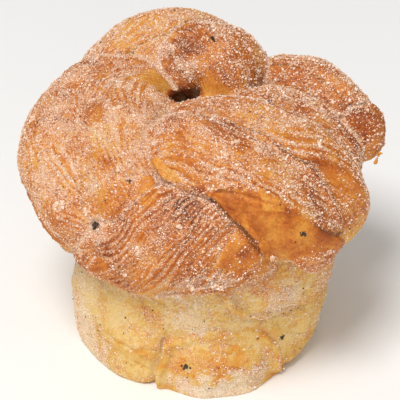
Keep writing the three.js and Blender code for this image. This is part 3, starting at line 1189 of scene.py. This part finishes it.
    def browned(self, marks: dict[Show, Array], crown: Array) -> Array:
        """Works out how brown the skin is, apart from the hole, with painted shade by ledges and flakes.

        Args:
            marks: How far each point is marked by the spots of each kind.
            crown: How far each point belongs to the crown.

        Returns:
            One browning for each point.
        """
        values, points, baking = self.values, self.points, self.baking
        facing, flake = self.normals[:, 2], values["flake"]
        broad, small = baking.patch
        patch = broad * Pattern.PATCH.at(points) + small * Pattern.SMALL_PATCH.at(points)
        coarse, fine = baking.mottle
        mottle = coarse * Pattern.MOTTLE.at(points) + fine * Pattern.FINE_MOTTLE.at(points)
        patch = patch + (1 - crown) * (baking.base_patch * patch + mottle)
        layered = baking.layer_edge * values["relief"] * (values["edge"] - 0.5) * values["strength"]
        brown = values["brown"] + patch + layered - baking.hollow_pale * values["hollow"]
        brown = brown + baking.upward * smoothstep(0.2, 0.9, facing) * crown
        overhang = smoothstep(20, 30, points[:, 2])
        brown = brown - baking.overhang_pale * smoothstep(-0.1, -0.8, facing) * overhang
        shard = values["flake_brown"] + baking.flake_patch * patch
        # The flakes keep their own browning, with painted shade on the line round each
        brown = brown * (1 - flake) + shard * flake + baking.flake_line * values["line"]
        brown = brown + baking.browned_spot * marks[Show.BROWNED] - baking.pale_spot * marks[Show.PALE]
        # Painted shade on the ledges' feet, and the darker browning of their rims
        brown = brown + values["dark"]
        unsugared = np.clip(smoothstep(0.3, 0.1, values["sugar"]) + flake, 0, 1)
        stain = Pattern.STAIN.at(points) + 0.5 * Pattern.SMALL_STAIN.at(points)
        return brown + baking.stain * smoothstep(0.1, 0.4, stain) * unsugared * crown

    def sugared(self, marks: dict[Show, Array], crown: Array, pit: Array) -> Array:
        """Works out how thickly the sugar lies.

        Args:
            marks: How far each point is marked by the spots of each kind.
            crown: How far each point belongs to the crown.
            pit: How far each point lies in the hole.

        Returns:
            One thickness for each point.
        """
        values, points, baking = self.values, self.points, self.baking
        facing, coat = self.normals[:, 2], values["sugar"]
        broad, small, fine = baking.heaps
        heaps = broad * Pattern.HEAP.at(points) + small * Pattern.SMALL_HEAP.at(points)
        heaps = heaps + fine * Pattern.FINE_HEAP.at(points)
        below, less = baking.heaps_below
        heaps = (below - less * crown) * heaps
        streaks = baking.layer_sugar * np.minimum(values["relief"], 1.2) ** 2
        streaks = streaks * (0.45 - values["edge"]) * values["strength"]
        sugar = coat * np.clip(baking.coat + heaps + streaks, *baking.coat_limits)
        sugar = sugar * (baking.sheltered + (1 - baking.sheltered) * smoothstep(-0.6, 0.5, facing))
        sugar = sugar + baking.hollow_sugar * values["hollow"] * coat
        sugar = sugar * (1 - baking.bare_spot * marks[Show.BARE]) + baking.heaped_spot * marks[Show.HEAPED]
        sugar = sugar + values["sweet"]
        sugar = sugar * smoothstep(-0.97, -0.6, facing) * (1 - pit)
        sugar = sugar * (1 - baking.flake_bare * values["flake"])
        # Less sugar where a ledge's foot has strong painted shade, and none on the bare rims
        return sugar * smoothstep(0.36, 0.16, values["dark"]) * (1 - values["clean"])


# Things that lie on the crust


class Crust:
    """The finished dough's faces, for scattering things on them."""

    def __init__(self, dough: KnottedDough) -> None:
        """Reads the dough's triangles.

        Args:
            dough: The dough, built.
        """
        mesh = dough.piece.data
        mesh.calc_loop_triangles()
        corners = np.empty(3 * len(mesh.loop_triangles), dtype=np.int32)
        mesh.loop_triangles.foreach_get("vertices", corners)
        self.corners = corners.reshape(-1, 3)
        self.points = dough.points
        self.normals = dough.normals
        self.brown = dough.values["brown"]
        a, b, c = (self.points[self.corners[:, k]] for k in range(3))
        self.area = np.linalg.norm(np.cross(b - a, c - a), axis=1) / 2
        self.tree = BVHTree.FromPolygons([Vector(point) for point in self.points], self.corners.tolist())

    def weight(self, density: Array) -> Array:
        """Gives how much lies on each triangle, from how thickly it lies at each of the dough's points."""
        return self.area * density[self.corners].mean(axis=1)

    def at(self, azimuth: float, lift: float) -> tuple[Array, Array]:
        """Gives the place where a line from the middle of the knot leaves the crust, and the normal there."""
        return crust_at(self.tree, azimuth, lift)

    def scatter(self, density: Array, count: int, seed: int) -> tuple[Array, Array, Array]:
        """Draws places on the crust.

        Args:
            density: How thickly they lie at each of the dough's points.
            count: How many.
            seed: Sets the draw.

        Returns:
            Places, the crust's normals there, and how brown it is there.
        """
        draw = np.random.default_rng(seed)
        weight = self.weight(density)
        face = draw.choice(len(weight), size=count, p=weight / weight.sum())
        one, two = np.sqrt(draw.random(count)), draw.random(count)
        share = np.column_stack([1 - one, one * (1 - two), one * two])[:, :, None]
        places = (self.points[self.corners[face]] * share).sum(axis=1)
        normals = unit((self.normals[self.corners[face]] * share).sum(axis=1))
        return places, normals, self.brown[self.corners[face]].mean(axis=1)


class Form(Enum):
    """The plain solids that small things are drawn from, as corners and faces."""

    CUBE = "cube"
    DIAMOND = "diamond"
    SHARD = "shard"

    def corners(self) -> Array:
        """Gives the corners.

        Returns:
            Rows of coordinates, about one from side to side.
        """
        if self is Form.CUBE:
            return np.array(list(itertools.product((-0.5, 0.5), repeat=3)))
        if self is Form.SHARD:
            return np.array([(1, 1, 1), (1, -1, -1), (-1, 1, -1), (-1, -1, 1)]) * 0.45
        return np.vstack([np.eye(3), -np.eye(3)]) * 0.62

    def faces(self) -> Array:
        """Gives the faces.

        Returns:
            Rows of corner numbers.
        """
        if self is Form.CUBE:
            sides = [(0, 1, 3, 2), (4, 6, 7, 5), (0, 4, 5, 1), (2, 3, 7, 6), (0, 2, 6, 4), (1, 5, 7, 3)]
        elif self is Form.SHARD:
            sides = [(0, 1, 2), (0, 3, 1), (0, 2, 3), (1, 3, 2)]
        else:
            sides = [(0, 1, 2), (1, 3, 2), (3, 4, 2), (4, 0, 2), (1, 0, 5), (3, 1, 5), (4, 3, 5), (0, 4, 5)]
        return np.array(sides)

    def triangles(self) -> int:
        """Gives how many triangles it has."""
        faces = self.faces()
        return len(faces) * (faces.shape[1] - 2)


def random_turns(draw: np.random.Generator, count: int) -> Array:
    """Draws evenly spread rotations.

    Args:
        draw: The random numbers.
        count: How many rotations.

    Returns:
        Matrices of three rows each.
    """
    w, x, y, z = unit(draw.normal(size=(count, 4))).T
    rows = [
        [1 - 2 * (y * y + z * z), 2 * (x * y - z * w), 2 * (x * z + y * w)],
        [2 * (x * y + z * w), 1 - 2 * (x * x + z * z), 2 * (y * z - x * w)],
        [2 * (x * z - y * w), 2 * (y * z + x * w), 1 - 2 * (x * x + y * y)],
    ]
    return np.array(rows).transpose(2, 0, 1)


# How far a small solid's sides and corners vary, and how low it may reach
UNEVEN_SIDES = 0.7, 1.15
UNEVEN_CORNERS = 0.8, 1.1
LOWEST = 0.02


def bits(name: str, form: Form, places: Array, sizes: Array, seed: int, under: Array) -> bpy.types.Object:
    """Joins many small turned and uneven solids to one piece.

    Args:
        name: The piece's name.
        form: The solid that each is drawn from.
        places: Their middles.
        sizes: Their lengths from side to side.
        seed: Sets how they turn and how uneven they are.
        under: How brown the crust is under each.

    Returns:
        The piece, with a random number and the crust's browning as attributes of each solid.
    """
    draw = np.random.default_rng(seed)
    count = len(places)
    corners, faces = form.corners(), form.faces()
    uneven = corners[None] * draw.uniform(*UNEVEN_SIDES, (count, 1, 3))
    uneven = uneven * draw.uniform(*UNEVEN_CORNERS, (count, len(corners), 1))
    turned = np.einsum("nij,nkj->nki", random_turns(draw, count), uneven) * sizes[:, None, None]
    points = (turned + places[:, None]).reshape(-1, 3)
    points[:, 2] = np.maximum(points[:, 2], LOWEST)
    rows = (faces[None] + len(corners) * np.arange(count)[:, None, None]).reshape(-1, faces.shape[1])
    mesh = new_mesh(name, points, rows)
    add_values(mesh, "tone", np.repeat(draw.random(count), len(corners)))
    add_values(mesh, "under", np.repeat(under, len(corners)))
    mesh.shade_flat()
    return new_object(name, mesh)


@dataclass(frozen=True)
class SugarKind:
    """A size of sugar crystal.

    Attributes:
        name: The piece's name.
        form: The solid that its crystals are drawn from.
        rate: How many lie on a square millimetre that is sugared in full.
        smallest: The smallest crystal's length.
        largest: The largest crystal's length.
        seed: Sets how they are scattered.
        turn_seed: Sets how they are turned.
    """

    name: str
    form: Form
    rate: float
    smallest: float
    largest: float
    seed: int
    turn_seed: int


@dataclass
class SugarCoat:
    """The sugar that sticks to the crust: coarse crystals, fine grains, and small clumps of crystals.

    Attributes:
        kinds: The sizes of crystal.
        few_large: The power by which larger crystals are fewer.
        lift: How far their middles lie above the crust, as shares of their length.
        coarse_browning: Brownings of the crust between which the larger crystals start to stick.
        clump_count: How many clumps are spread evenly over the bun.
        clump_sizes: The largest and the smallest of these.
        clump_stride: How many ranks lie between one clump and the next smaller one.
        clump_lifts: The lowest and the highest of them, in degrees seen from the middle of the knot.
        golden_turn: The angle from one rank to the next, in degrees.
        piles: Azimuth and lift in degrees, and size, of the heaps that lie in known places.
        crystals_a_clump: How many crystals cling together.
        clump_sink: How far the lower half of a clump is pressed up.
        clump_narrow: How much narrower than long it is.
        clump_spread: How far its crystals lie from its middle, as a share of its size.
        clump_crystals: The smallest and the largest of its crystals.
        most_triangles: How many triangles a piece may have.
    """

    kinds: tuple[SugarKind, ...] = (
        SugarKind("sugar_coarse", Form.CUBE, 1.2, 0.3, 0.56, 21, 121),
        SugarKind("sugar_crystals", Form.DIAMOND, 3.6, 0.26, 0.42, 24, 124),
        SugarKind("sugar_fine", Form.SHARD, 6.5, 0.24, 0.38, 22, 122),
        SugarKind("sugar_grit", Form.SHARD, 6.5, 0.16, 0.28, 23, 123),
    )
    few_large: float = 1.6
    lift: tuple[float, float] = (0.05, 0.35)
    coarse_browning: tuple[float, float] = (0.05, 0.4)
    clump_count: int = 30
    clump_sizes: tuple[float, float] = (2.2, 1.2)
    clump_stride: int = 17
    clump_lifts: tuple[float, float] = (-30, 78)
    golden_turn: float = 137.508
    piles: tuple[tuple[float, float, float], ...] = (
        (248, 4, 2.4),
        (221, 8, 2.6),
        (258, -21, 2.6),
        (261, -24, 2.2),
        (267, -9, 2.4),
        (276, -9, 3.2),
        (281, -11, 2.2),
        (212, 8, 2.6),
        (222, 53, 2.2),
        (300, 40, 2),
        (315, 42, 2.4),
        (290, 45, 2.2),
        (333, 30, 2),
    )
    crystals_a_clump: int = 30
    clump_sink: float = 0.3
    clump_narrow: float = 0.45
    clump_spread: float = 0.6
    clump_crystals: tuple[float, float] = (0.3, 0.55)
    most_triangles: int = 198000

    def build(self, crust: Crust, density: Array, finish: bpy.types.Material) -> None:
        """Scatters the sugar.

        Args:
            crust: The dough's surface.
            density: How thickly it is sugared at each of its points.
            finish: The sugar's material.
        """
        coarse = density * smoothstep(*self.coarse_browning, crust.brown)
        in_clumps = (self.clump_count + len(self.piles)) * self.crystals_a_clump
        for kind in self.kinds:
            lying = density if kind.form is Form.SHARD else coarse
            draw = np.random.default_rng(kind.seed)
            most = self.most_triangles // kind.form.triangles() - in_clumps
            count = min(most, round(kind.rate * crust.weight(lying).sum()))
            places, normals, under = crust.scatter(lying, count, kind.seed)
            sizes = kind.smallest + (kind.largest - kind.smallest) * draw.random(count) ** self.few_large
            places = places + normals * (sizes * draw.uniform(*self.lift, count))[:, None]
            if kind.form is Form.CUBE:
                heaped, small = self.clumps(crust, draw)
                places, sizes = np.vstack([places, heaped]), np.concatenate([sizes, small])
                under = np.concatenate([under, np.ones(len(small))])
            dress(bits(kind.name, kind.form, places, sizes, kind.turn_seed, under), finish)

    def clumps(self, crust: Crust, draw: np.random.Generator) -> tuple[Array, Array]:
        """Draws the crystals that cling together in clumps.

        Args:
            crust: The dough's surface.
            draw: The random numbers.

        Returns:
            The crystals' places and lengths.
        """
        low, high = (math.sin(math.radians(lift)) for lift in self.clump_lifts)
        largest, smallest = self.clump_sizes
        heaps = list(self.piles)
        for number in range(self.clump_count):
            rank = number * self.clump_stride % self.clump_count
            lift = math.degrees(math.asin(low + (high - low) * (rank + 0.5) / self.clump_count))
            share = number / self.clump_count
            heaps.append((rank * self.golden_turn, lift, largest + (smallest - largest) * share))
        places, sizes = [], []
        for azimuth, lift, size in heaps:
            middle, normal = crust.at(azimuth, lift)
            away = unit(draw.normal(size=(self.crystals_a_clump, 3)))
            away = away * draw.random((self.crystals_a_clump, 1)) ** 0.5
            away = away - np.outer(away @ normal - self.clump_sink * np.abs(away @ normal), normal)
            longer = unit(np.cross(normal, draw.normal(size=3)))
            away = away - self.clump_narrow * np.outer(away @ longer, longer)
            places.append(middle + away * size * self.clump_spread)
            sizes.append(draw.uniform(*self.clump_crystals, self.crystals_a_clump))
        return np.vstack(places), np.concatenate(sizes)


@dataclass
class Cardamom:
    """Cracked cardamom seeds, baked into the crust, and the specks of the ground spice.

    Attributes:
        seeds: Azimuth and lift in degrees, seen from the middle of the knot, and length of each seed.
        core: How long a seed's largest chip is, as a share of the seed.
        chips_a_seed: How many more chips it has.
        chip_away: How far they lie from its middle, as shares of the seed.
        chip_lift: How far they lie above the crust, likewise.
        chip_sizes: How long they are, likewise.
        speck_count: How many specks there are.
        speck_smallest: The smallest speck's length.
        speck_largest: The largest speck's length.
        speck_lift: How far the specks' middles lie above the crust.
        speck_browning: Brownings of the crust between which they turn from few to many.
        speck_least: How thickly they lie where they are few.
        chip_seed: Sets the chips.
        speck_seed: Sets where the specks lie.
        turn_seed: Sets how all of them are turned.
    """

    seeds: tuple[tuple[float, float, float], ...] = (
        (226, 5, 3),
        (237, 27, 1.6),
        (305, 9, 1.8),
        (264, -47, 2.2),
        (311, -46, 1.6),
        (78, 63, 2.2),
        (210, 17, 0.8),
        (217, 23, 0.7),
        (240, 12, 0.9),
        (267, 17, 1.0),
        (262, -44, 0.6),
        (297, -43, 0.7),
        (320, 58, 0.7),
    )
    core: float = 0.6
    chips_a_seed: int = 6
    chip_away: tuple[float, float] = (0.2, 0.55)
    chip_lift: float = 0.03
    chip_sizes: tuple[float, float] = (0.2, 0.42)
    speck_count: int = 420
    speck_smallest: float = 0.18
    speck_largest: float = 0.5
    speck_lift: float = 0.1
    speck_browning: tuple[float, float] = (0.7, 0.2)
    speck_least: float = 0.1
    chip_seed: int = 31
    speck_seed: int = 32
    turn_seed: int = 33

    def build(self, crust: Crust, finish: bpy.types.Material) -> None:
        """Puts the seeds and specks on the crust.

        Args:
            crust: The dough's surface.
            finish: The spice's material.
        """
        draw = np.random.default_rng(self.chip_seed)
        places, sizes = [], []
        for azimuth, lift, length in self.seeds:
            middle, normal = crust.at(azimuth, lift)
            places.append(middle)
            sizes.append(self.core * length)
            for _ in range(self.chips_a_seed):
                aside = unit(np.cross(normal, draw.normal(size=3))) * draw.uniform(*self.chip_away)
                places.append(middle + (aside + self.chip_lift * normal) * length)
                sizes.append(draw.uniform(*self.chip_sizes) * length)
        density = smoothstep(*self.speck_browning, crust.brown) + self.speck_least
        specks, normals, _ = crust.scatter(density, self.speck_count, self.speck_seed)
        longer = self.speck_largest - self.speck_smallest
        small = self.speck_smallest + longer * draw.random(self.speck_count) ** 2
        places = np.vstack([np.array(places), specks + normals * self.speck_lift])
        sizes = np.concatenate([sizes, small])
        dress(bits("cardamom", Form.DIAMOND, places, sizes, self.turn_seed, np.ones(len(places))), finish)


@dataclass
class Crumb:
    """A crumb of crust that hangs by a thread from the end of the right roll.

    Attributes:
        place: The middle of the topmost bit.
        drop: How far each bit lies from the one above it.
        sizes: The bits' lengths, from the top.
        brown: How far it baked.
        turn_seed: Sets how the bits are turned.
    """

    place: tuple[float, float, float] = (44.6, 4.4, 48)
    drop: tuple[float, float, float] = (-0.22, -0.1, -0.62)
    sizes: tuple[float, ...] = (1.3, 0.7, 0.6, 0.9, 1.2)
    brown: float = 0.42
    turn_seed: int = 41

    def build(self, finish: bpy.types.Material) -> None:
        """Hangs the crumb.

        Args:
            finish: The baked dough's material.
        """
        places = np.array(self.place) + np.arange(len(self.sizes))[:, None] * np.array(self.drop)
        sizes = np.array(self.sizes)
        piece = bits("crumb", Form.DIAMOND, places, sizes, self.turn_seed, np.ones(len(sizes)))
        add_values(piece.data, "brown", np.full(len(piece.data.vertices), self.brown))
        dress(piece, finish)


# Finishes


@dataclass(frozen=True)
class BakedDough:
    """Yeast dough laminated with butter and baked in a tin.

    The skin browns where the oven reaches it and stays pale yellow where the tin or a neighbouring roll
    covered it. Butter and a little syrup leave it softly glossy where no sugar lies.

    Attributes:
        browning: How brown the skin is, and its colour there.
        dusted: Powdered sugar on browned skin.
        floured: The same on pale skin.
        crumb: Dough that a neighbouring roll covered.
        roughness: How dull the skin is.
        refraction: Its IOR.
        gloss: How strongly it shines.
        streak: Width and length of the streaks along the layers.
        blotch: Size of darker blotches.
        pore: Size of pores.
        speck: Size of darker specks.
        frost: Size of the patches that powdered sugar lies in.
        streak_bump: How strongly the streaks show in the relief, and how deep they are.
        pore_bump: The same for the pores and the powder.
    """

    browning: tuple[tuple[float, str], ...] = (
        (0.0, "#E2BE76"),
        (0.2, "#D8A852"),
        (0.42, "#D68F39"),
        (0.62, "#C06C27"),
        (0.82, "#9A4A1A"),
        (1.0, "#5A2A12"),
    )
    dusted: str = "#F3CFB4"
    floured: str = "#F4E6D2"
    crumb: str = "#E3C88E"
    roughness: float = 0.52
    refraction: float = 1.45
    gloss: float = 0.22
    streak: tuple[float, float] = (0.6, 3.5)
    blotch: float = 6
    pore: float = 0.9
    speck: float = 0.65
    frost: float = 0.55
    streak_bump: tuple[float, float] = (0.8, 0.6)
    pore_bump: tuple[float, float] = (0.5, 0.25)

    # Each step names its result, its operation, whether it is kept between 0 and 1, and what it takes
    STEPS = (
        # Streaks along the layers and broad blotches change how brown the skin is
        ("ridge", "SUBTRACT", False, "streak", 0.5),
        ("ridge", "MULTIPLY", False, "ridge", "relief"),
        ("level", "MULTIPLY_ADD", False, "ridge", -0.6, "brown"),
        ("blotch", "SUBTRACT", False, "blotch", 0.5),
        ("level", "MULTIPLY_ADD", False, "blotch", 0.4, "level"),
        # Specks show where sugar lies, and most on pale skin
        ("rough", "MULTIPLY_ADD", True, "dust", 1.6, 0.25),
        ("fleck", "SUBTRACT", False, "speck", 0.5),
        ("fleck", "MULTIPLY", False, "fleck", "rough"),
        ("baked", "MULTIPLY_ADD", True, "brown", 3.0, -0.75),
        ("contrast", "MULTIPLY_ADD", False, "baked", -0.6, 2.2),
        ("level", "MULTIPLY_ADD", False, "fleck", "contrast", "level"),
        # Creases keep the colour of covered dough
        ("covered", "MULTIPLY", True, "hollow", 0.5),
        # Powder lies in patches, more where the sugar is thick, and in full where it is heaped
        ("frosted", "MULTIPLY_ADD", False, "dust", 0.36, "frost"),
        ("frosted", "MULTIPLY_ADD", True, "frosted", 8.0, -5.3),
        ("heaped", "MULTIPLY_ADD", True, "dust", 2.5, -2.1),
        ("heaped", "MULTIPLY", False, "heaped", 0.45),
        ("film", "MULTIPLY_ADD", False, "dust", 0.26, "heaped"),
        ("film", "MULTIPLY_ADD", False, "frosted", 0.32, "film"),
        ("grit", "MULTIPLY_ADD", False, "frosted", 0.6, "pore"),
    )

    def material(self) -> bpy.types.Material:
        """Builds the finish.

        Returns:
            The material.
        """
        material, tree = new_material("baked_dough")
        sockets: dict[str, bpy.types.NodeSocket] = {}
        for name in ("brown", "dust", "hollow", "relief"):
            sockets[name] = add_node(tree, "ShaderNodeAttribute", {"attribute_name": name}).outputs["Fac"]
        place = add_node(tree, "ShaderNodeTexCoord").outputs["Object"]
        sizes = {"blotch": self.blotch, "pore": self.pore, "speck": self.speck, "frost": self.frost}
        for name, size in sizes.items():
            settings = {"Scale": 1 / (size * MM), "Detail": 2.0}
            sockets[name] = add_node(tree, "ShaderNodeTexNoise", settings, {"Vector": place}).outputs["Fac"]
        layers = add_node(tree, "ShaderNodeAttribute", {"attribute_name": "layers"}).outputs["Vector"]
        width, length = self.streak
        settings = {"operation": "MULTIPLY", 1: (1 / width, 1 / length, 1)}
        drawn = add_node(tree, "ShaderNodeVectorMath", settings, {0: layers}).outputs[0]
        settings = {"Scale": 1.0, "Detail": 2.0}
        sockets["streak"] = add_node(tree, "ShaderNodeTexNoise", settings, {"Vector": drawn}).outputs["Fac"]
        for name, operation, clamped, *taken in self.STEPS:
            settings = {number: value for number, value in enumerate(taken) if isinstance(value, float)}
            settings.update({"operation": operation, "use_clamp": clamped})
            links = {number: sockets[value] for number, value in enumerate(taken) if isinstance(value, str)}
            sockets[name] = add_node(tree, "ShaderNodeMath", settings, links).outputs[0]
        ramp = add_node(tree, "ShaderNodeValToRGB", links={"Fac": sockets["level"]})
        stops = ramp.color_ramp.elements
        while len(stops) < len(self.browning):
            stops.new(0.5)
        for stop, (position, colour) in zip(stops, self.browning):
            stop.position, stop.color = position, linear(colour)
        settings = {"data_type": "RGBA", TO: linear(self.crumb)}
        links = {BY: sockets["covered"], FROM: ramp.outputs["Color"]}
        pale = add_node(tree, "ShaderNodeMix", settings, links)
        settings = {"data_type": "RGBA", FROM: linear(self.floured), TO: linear(self.dusted)}
        powder = add_node(tree, "ShaderNodeMix", settings, {BY: sockets["baked"]})
        links = {BY: sockets["film"], FROM: pale.outputs[MIXED], TO: powder.outputs[MIXED]}
        colour = add_node(tree, "ShaderNodeMix", {"data_type": "RGBA"}, links)
        strength, depth = self.streak_bump
        settings = {"Strength": strength, "Distance": depth * MM}
        streaks = add_node(tree, "ShaderNodeBump", settings, {"Height": sockets["ridge"]})
        strength, depth = self.pore_bump
        settings = {"Strength": strength, "Distance": depth * MM}
        links = {"Height": sockets["grit"], "Normal": streaks.outputs["Normal"]}
        bump = add_node(tree, "ShaderNodeBump", settings, links)
        settings = {"Roughness": self.roughness, "IOR": self.refraction, "Specular IOR Level": self.gloss}
        links = {"Base Color": colour.outputs[MIXED], "Normal": bump.outputs["Normal"]}
        shader = add_node(tree, "ShaderNodeBsdfPrincipled", settings, links)
        add_node(tree, "ShaderNodeOutputMaterial", links={"Surface": shader.outputs[0]})
        return material


@dataclass(frozen=True)
class SugarCrystal:
    """Granulated sugar: clear crystals that look peach white, lit through by the crust under them.

    Attributes:
        clear: A clear crystal on browned crust.
        clear_on_pale: A clear crystal on pale crust.
        white: A crystal that the light catches.
        few_white: The power by which white ones are fewer.
        browning: How fast the crust under it turns from pale to browned.
        roughness: How dull a crystal is.
        refraction: Its IOR.
    """

    clear: str = "#DFAC7C"
    clear_on_pale: str = "#E8D2A8"
    white: str = "#FFEEE0"
    few_white: float = 1.5
    browning: float = 2.2
    roughness: float = 0.35
    refraction: float = 1.54

    def material(self) -> bpy.types.Material:
        """Builds the finish.

        Returns:
            The material.
        """
        material, tree = new_material("sugar_crystal")
        names = ("tone", "under")
        tone, under = (
            add_node(tree, "ShaderNodeAttribute", {"attribute_name": name}).outputs["Fac"] for name in names
        )
        share = add_node(tree, "ShaderNodeMath", {"operation": "POWER", 1: self.few_white}, {0: tone})
        settings = {"operation": "MULTIPLY", "use_clamp": True, 1: self.browning}
        baked = add_node(tree, "ShaderNodeMath", settings, {0: under})
        settings = {"data_type": "RGBA", FROM: linear(self.clear_on_pale), TO: linear(self.clear)}
        clear = add_node(tree, "ShaderNodeMix", settings, {BY: baked.outputs[0]})
        settings = {"data_type": "RGBA", TO: linear(self.white)}
        links = {BY: share.outputs[0], FROM: clear.outputs[MIXED]}
        colour = add_node(tree, "ShaderNodeMix", settings, links)
        settings = {"Roughness": self.roughness, "IOR": self.refraction}
        shader = add_node(tree, "ShaderNodeBsdfPrincipled", settings, {"Base Color": colour.outputs[MIXED]})
        add_node(tree, "ShaderNodeOutputMaterial", links={"Surface": shader.outputs[0]})
        return material


@dataclass(frozen=True)
class CrackedSpice:
    """Cracked cardamom seed: nearly black husk with brown breaks, dull with a small glint.

    Attributes:
        husk: The husk's colour.
        broken: The breaks' colour.
        roughness: How dull it is.
        refraction: Its IOR.
    """

    husk: str = "#241A17"
    broken: str = "#4A3527"
    roughness: float = 0.45
    refraction: float = 1.5

    def material(self) -> bpy.types.Material:
        """Builds the finish.

        Returns:
            The material.
        """
        material, tree = new_material("cracked_spice")
        tone = add_node(tree, "ShaderNodeAttribute", {"attribute_name": "tone"}).outputs["Fac"]
        settings = {"data_type": "RGBA", FROM: linear(self.husk), TO: linear(self.broken)}
        colour = add_node(tree, "ShaderNodeMix", settings, {BY: tone})
        settings = {"Roughness": self.roughness, "IOR": self.refraction}
        shader = add_node(tree, "ShaderNodeBsdfPrincipled", settings, {"Base Color": colour.outputs[MIXED]})
        add_node(tree, "ShaderNodeOutputMaterial", links={"Surface": shader.outputs[0]})
        return material


@dataclass(frozen=True)
class StudioPaper:
    """Matt white paper."""

    colour: str = "#F7F6F4"
    roughness: float = 0.9

    def material(self) -> bpy.types.Material:
        """Builds the finish.

        Returns:
            The material.
        """
        material, tree = new_material("studio_paper")
        settings = {"Base Color": linear(self.colour), "Roughness": self.roughness}
        shader = add_node(tree, "ShaderNodeBsdfPrincipled", settings)
        add_node(tree, "ShaderNodeOutputMaterial", links={"Surface": shader.outputs[0]})
        return material


# Stage


@dataclass(frozen=True)
class Lamp:
    """A square soft lamp that points at the bun."""

    name: str
    place: tuple[float, float, float]
    size: float
    watts: float


@dataclass
class Studio:
    """Pale floor, soft light, and the camera at the photograph's angle."""

    elevation: float = math.radians(34)
    target_height: float = 37
    distance: float = 480
    pixels_a_millimetre: float = 4
    picture: int = 400
    sensor: float = 36
    floor_size: float = 6000
    floor_gap: float = 0.05
    clip: tuple[float, float] = (10, 20000)
    sky: float = 0.4
    lamps: tuple[Lamp, ...] = (
        Lamp("key", (-270, -440, 1070), 420, 10),
        Lamp("low front", (120, -950, 140), 700, 2.8),
    )

    def build(self) -> None:
        """Sets the stage."""
        self.floor()
        self.light()
        self.camera()

    def floor(self) -> None:
        """Lays the floor just under the bun."""
        half, low = self.floor_size / 2, -self.floor_gap
        corners = np.array([(-half, -half, low), (half, -half, low), (half, half, low), (-half, half, low)])
        floor = new_object("floor", new_mesh("floor", corners, np.array([[0, 1, 2, 3]])))
        floor.data.materials.append(StudioPaper().material())

    def light(self) -> None:
        """Sets the even sky and the soft lamps."""
        scene = bpy.context.scene
        scene.view_settings.view_transform = "Standard"
        scene.world = bpy.data.worlds.new("sky")
        scene.world.use_nodes = True
        scene.world.node_tree.nodes["Background"].inputs["Color"].default_value = (1, 1, 1, 1)
        scene.world.node_tree.nodes["Background"].inputs["Strength"].default_value = self.sky
        for lamp in self.lamps:
            data = bpy.data.lights.new(lamp.name, "AREA")
            data.size, data.energy = lamp.size * MM, lamp.watts
            holder = bpy.data.objects.new(lamp.name, data)
            holder.location = Vector(lamp.place) * MM
            aim = Vector((0, 0, self.target_height)) - Vector(lamp.place)
            holder.rotation_euler = aim.to_track_quat("-Z", "Y").to_euler()
            scene.collection.objects.link(holder)

    def camera(self) -> None:
        """Sets the camera up."""
        data = bpy.data.cameras.new("camera")
        data.sensor_width = self.sensor
        data.lens = self.pixels_a_millimetre * self.distance / self.picture * self.sensor
        data.clip_start, data.clip_end = (distance * MM for distance in self.clip)
        camera = bpy.data.objects.new("camera", data)
        back = Vector((0, -math.cos(self.elevation), math.sin(self.elevation)))
        camera.location = (Vector((0, 0, self.target_height)) + back * self.distance) * MM
        camera.rotation_euler = (math.pi / 2 - self.elevation, 0, 0)
        bpy.context.scene.collection.objects.link(camera)
        bpy.context.scene.camera = camera


def main() -> None:
    """Builds the bun and its stage in order."""
    logging.basicConfig(level=logging.INFO, format="%(message)s")
    dough = KnottedDough()
    dough.build()
    baked = BakedDough().material()
    dress(dough.piece, baked)
    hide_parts(NODE)
    crust = Crust(dough)
    SugarCoat().build(crust, dough.values["sugar"], SugarCrystal().material())
    Cardamom().build(crust, CrackedSpice().material())
    Crumb().build(baked)
    Studio().build()


if __name__ == "__main__":
    main()
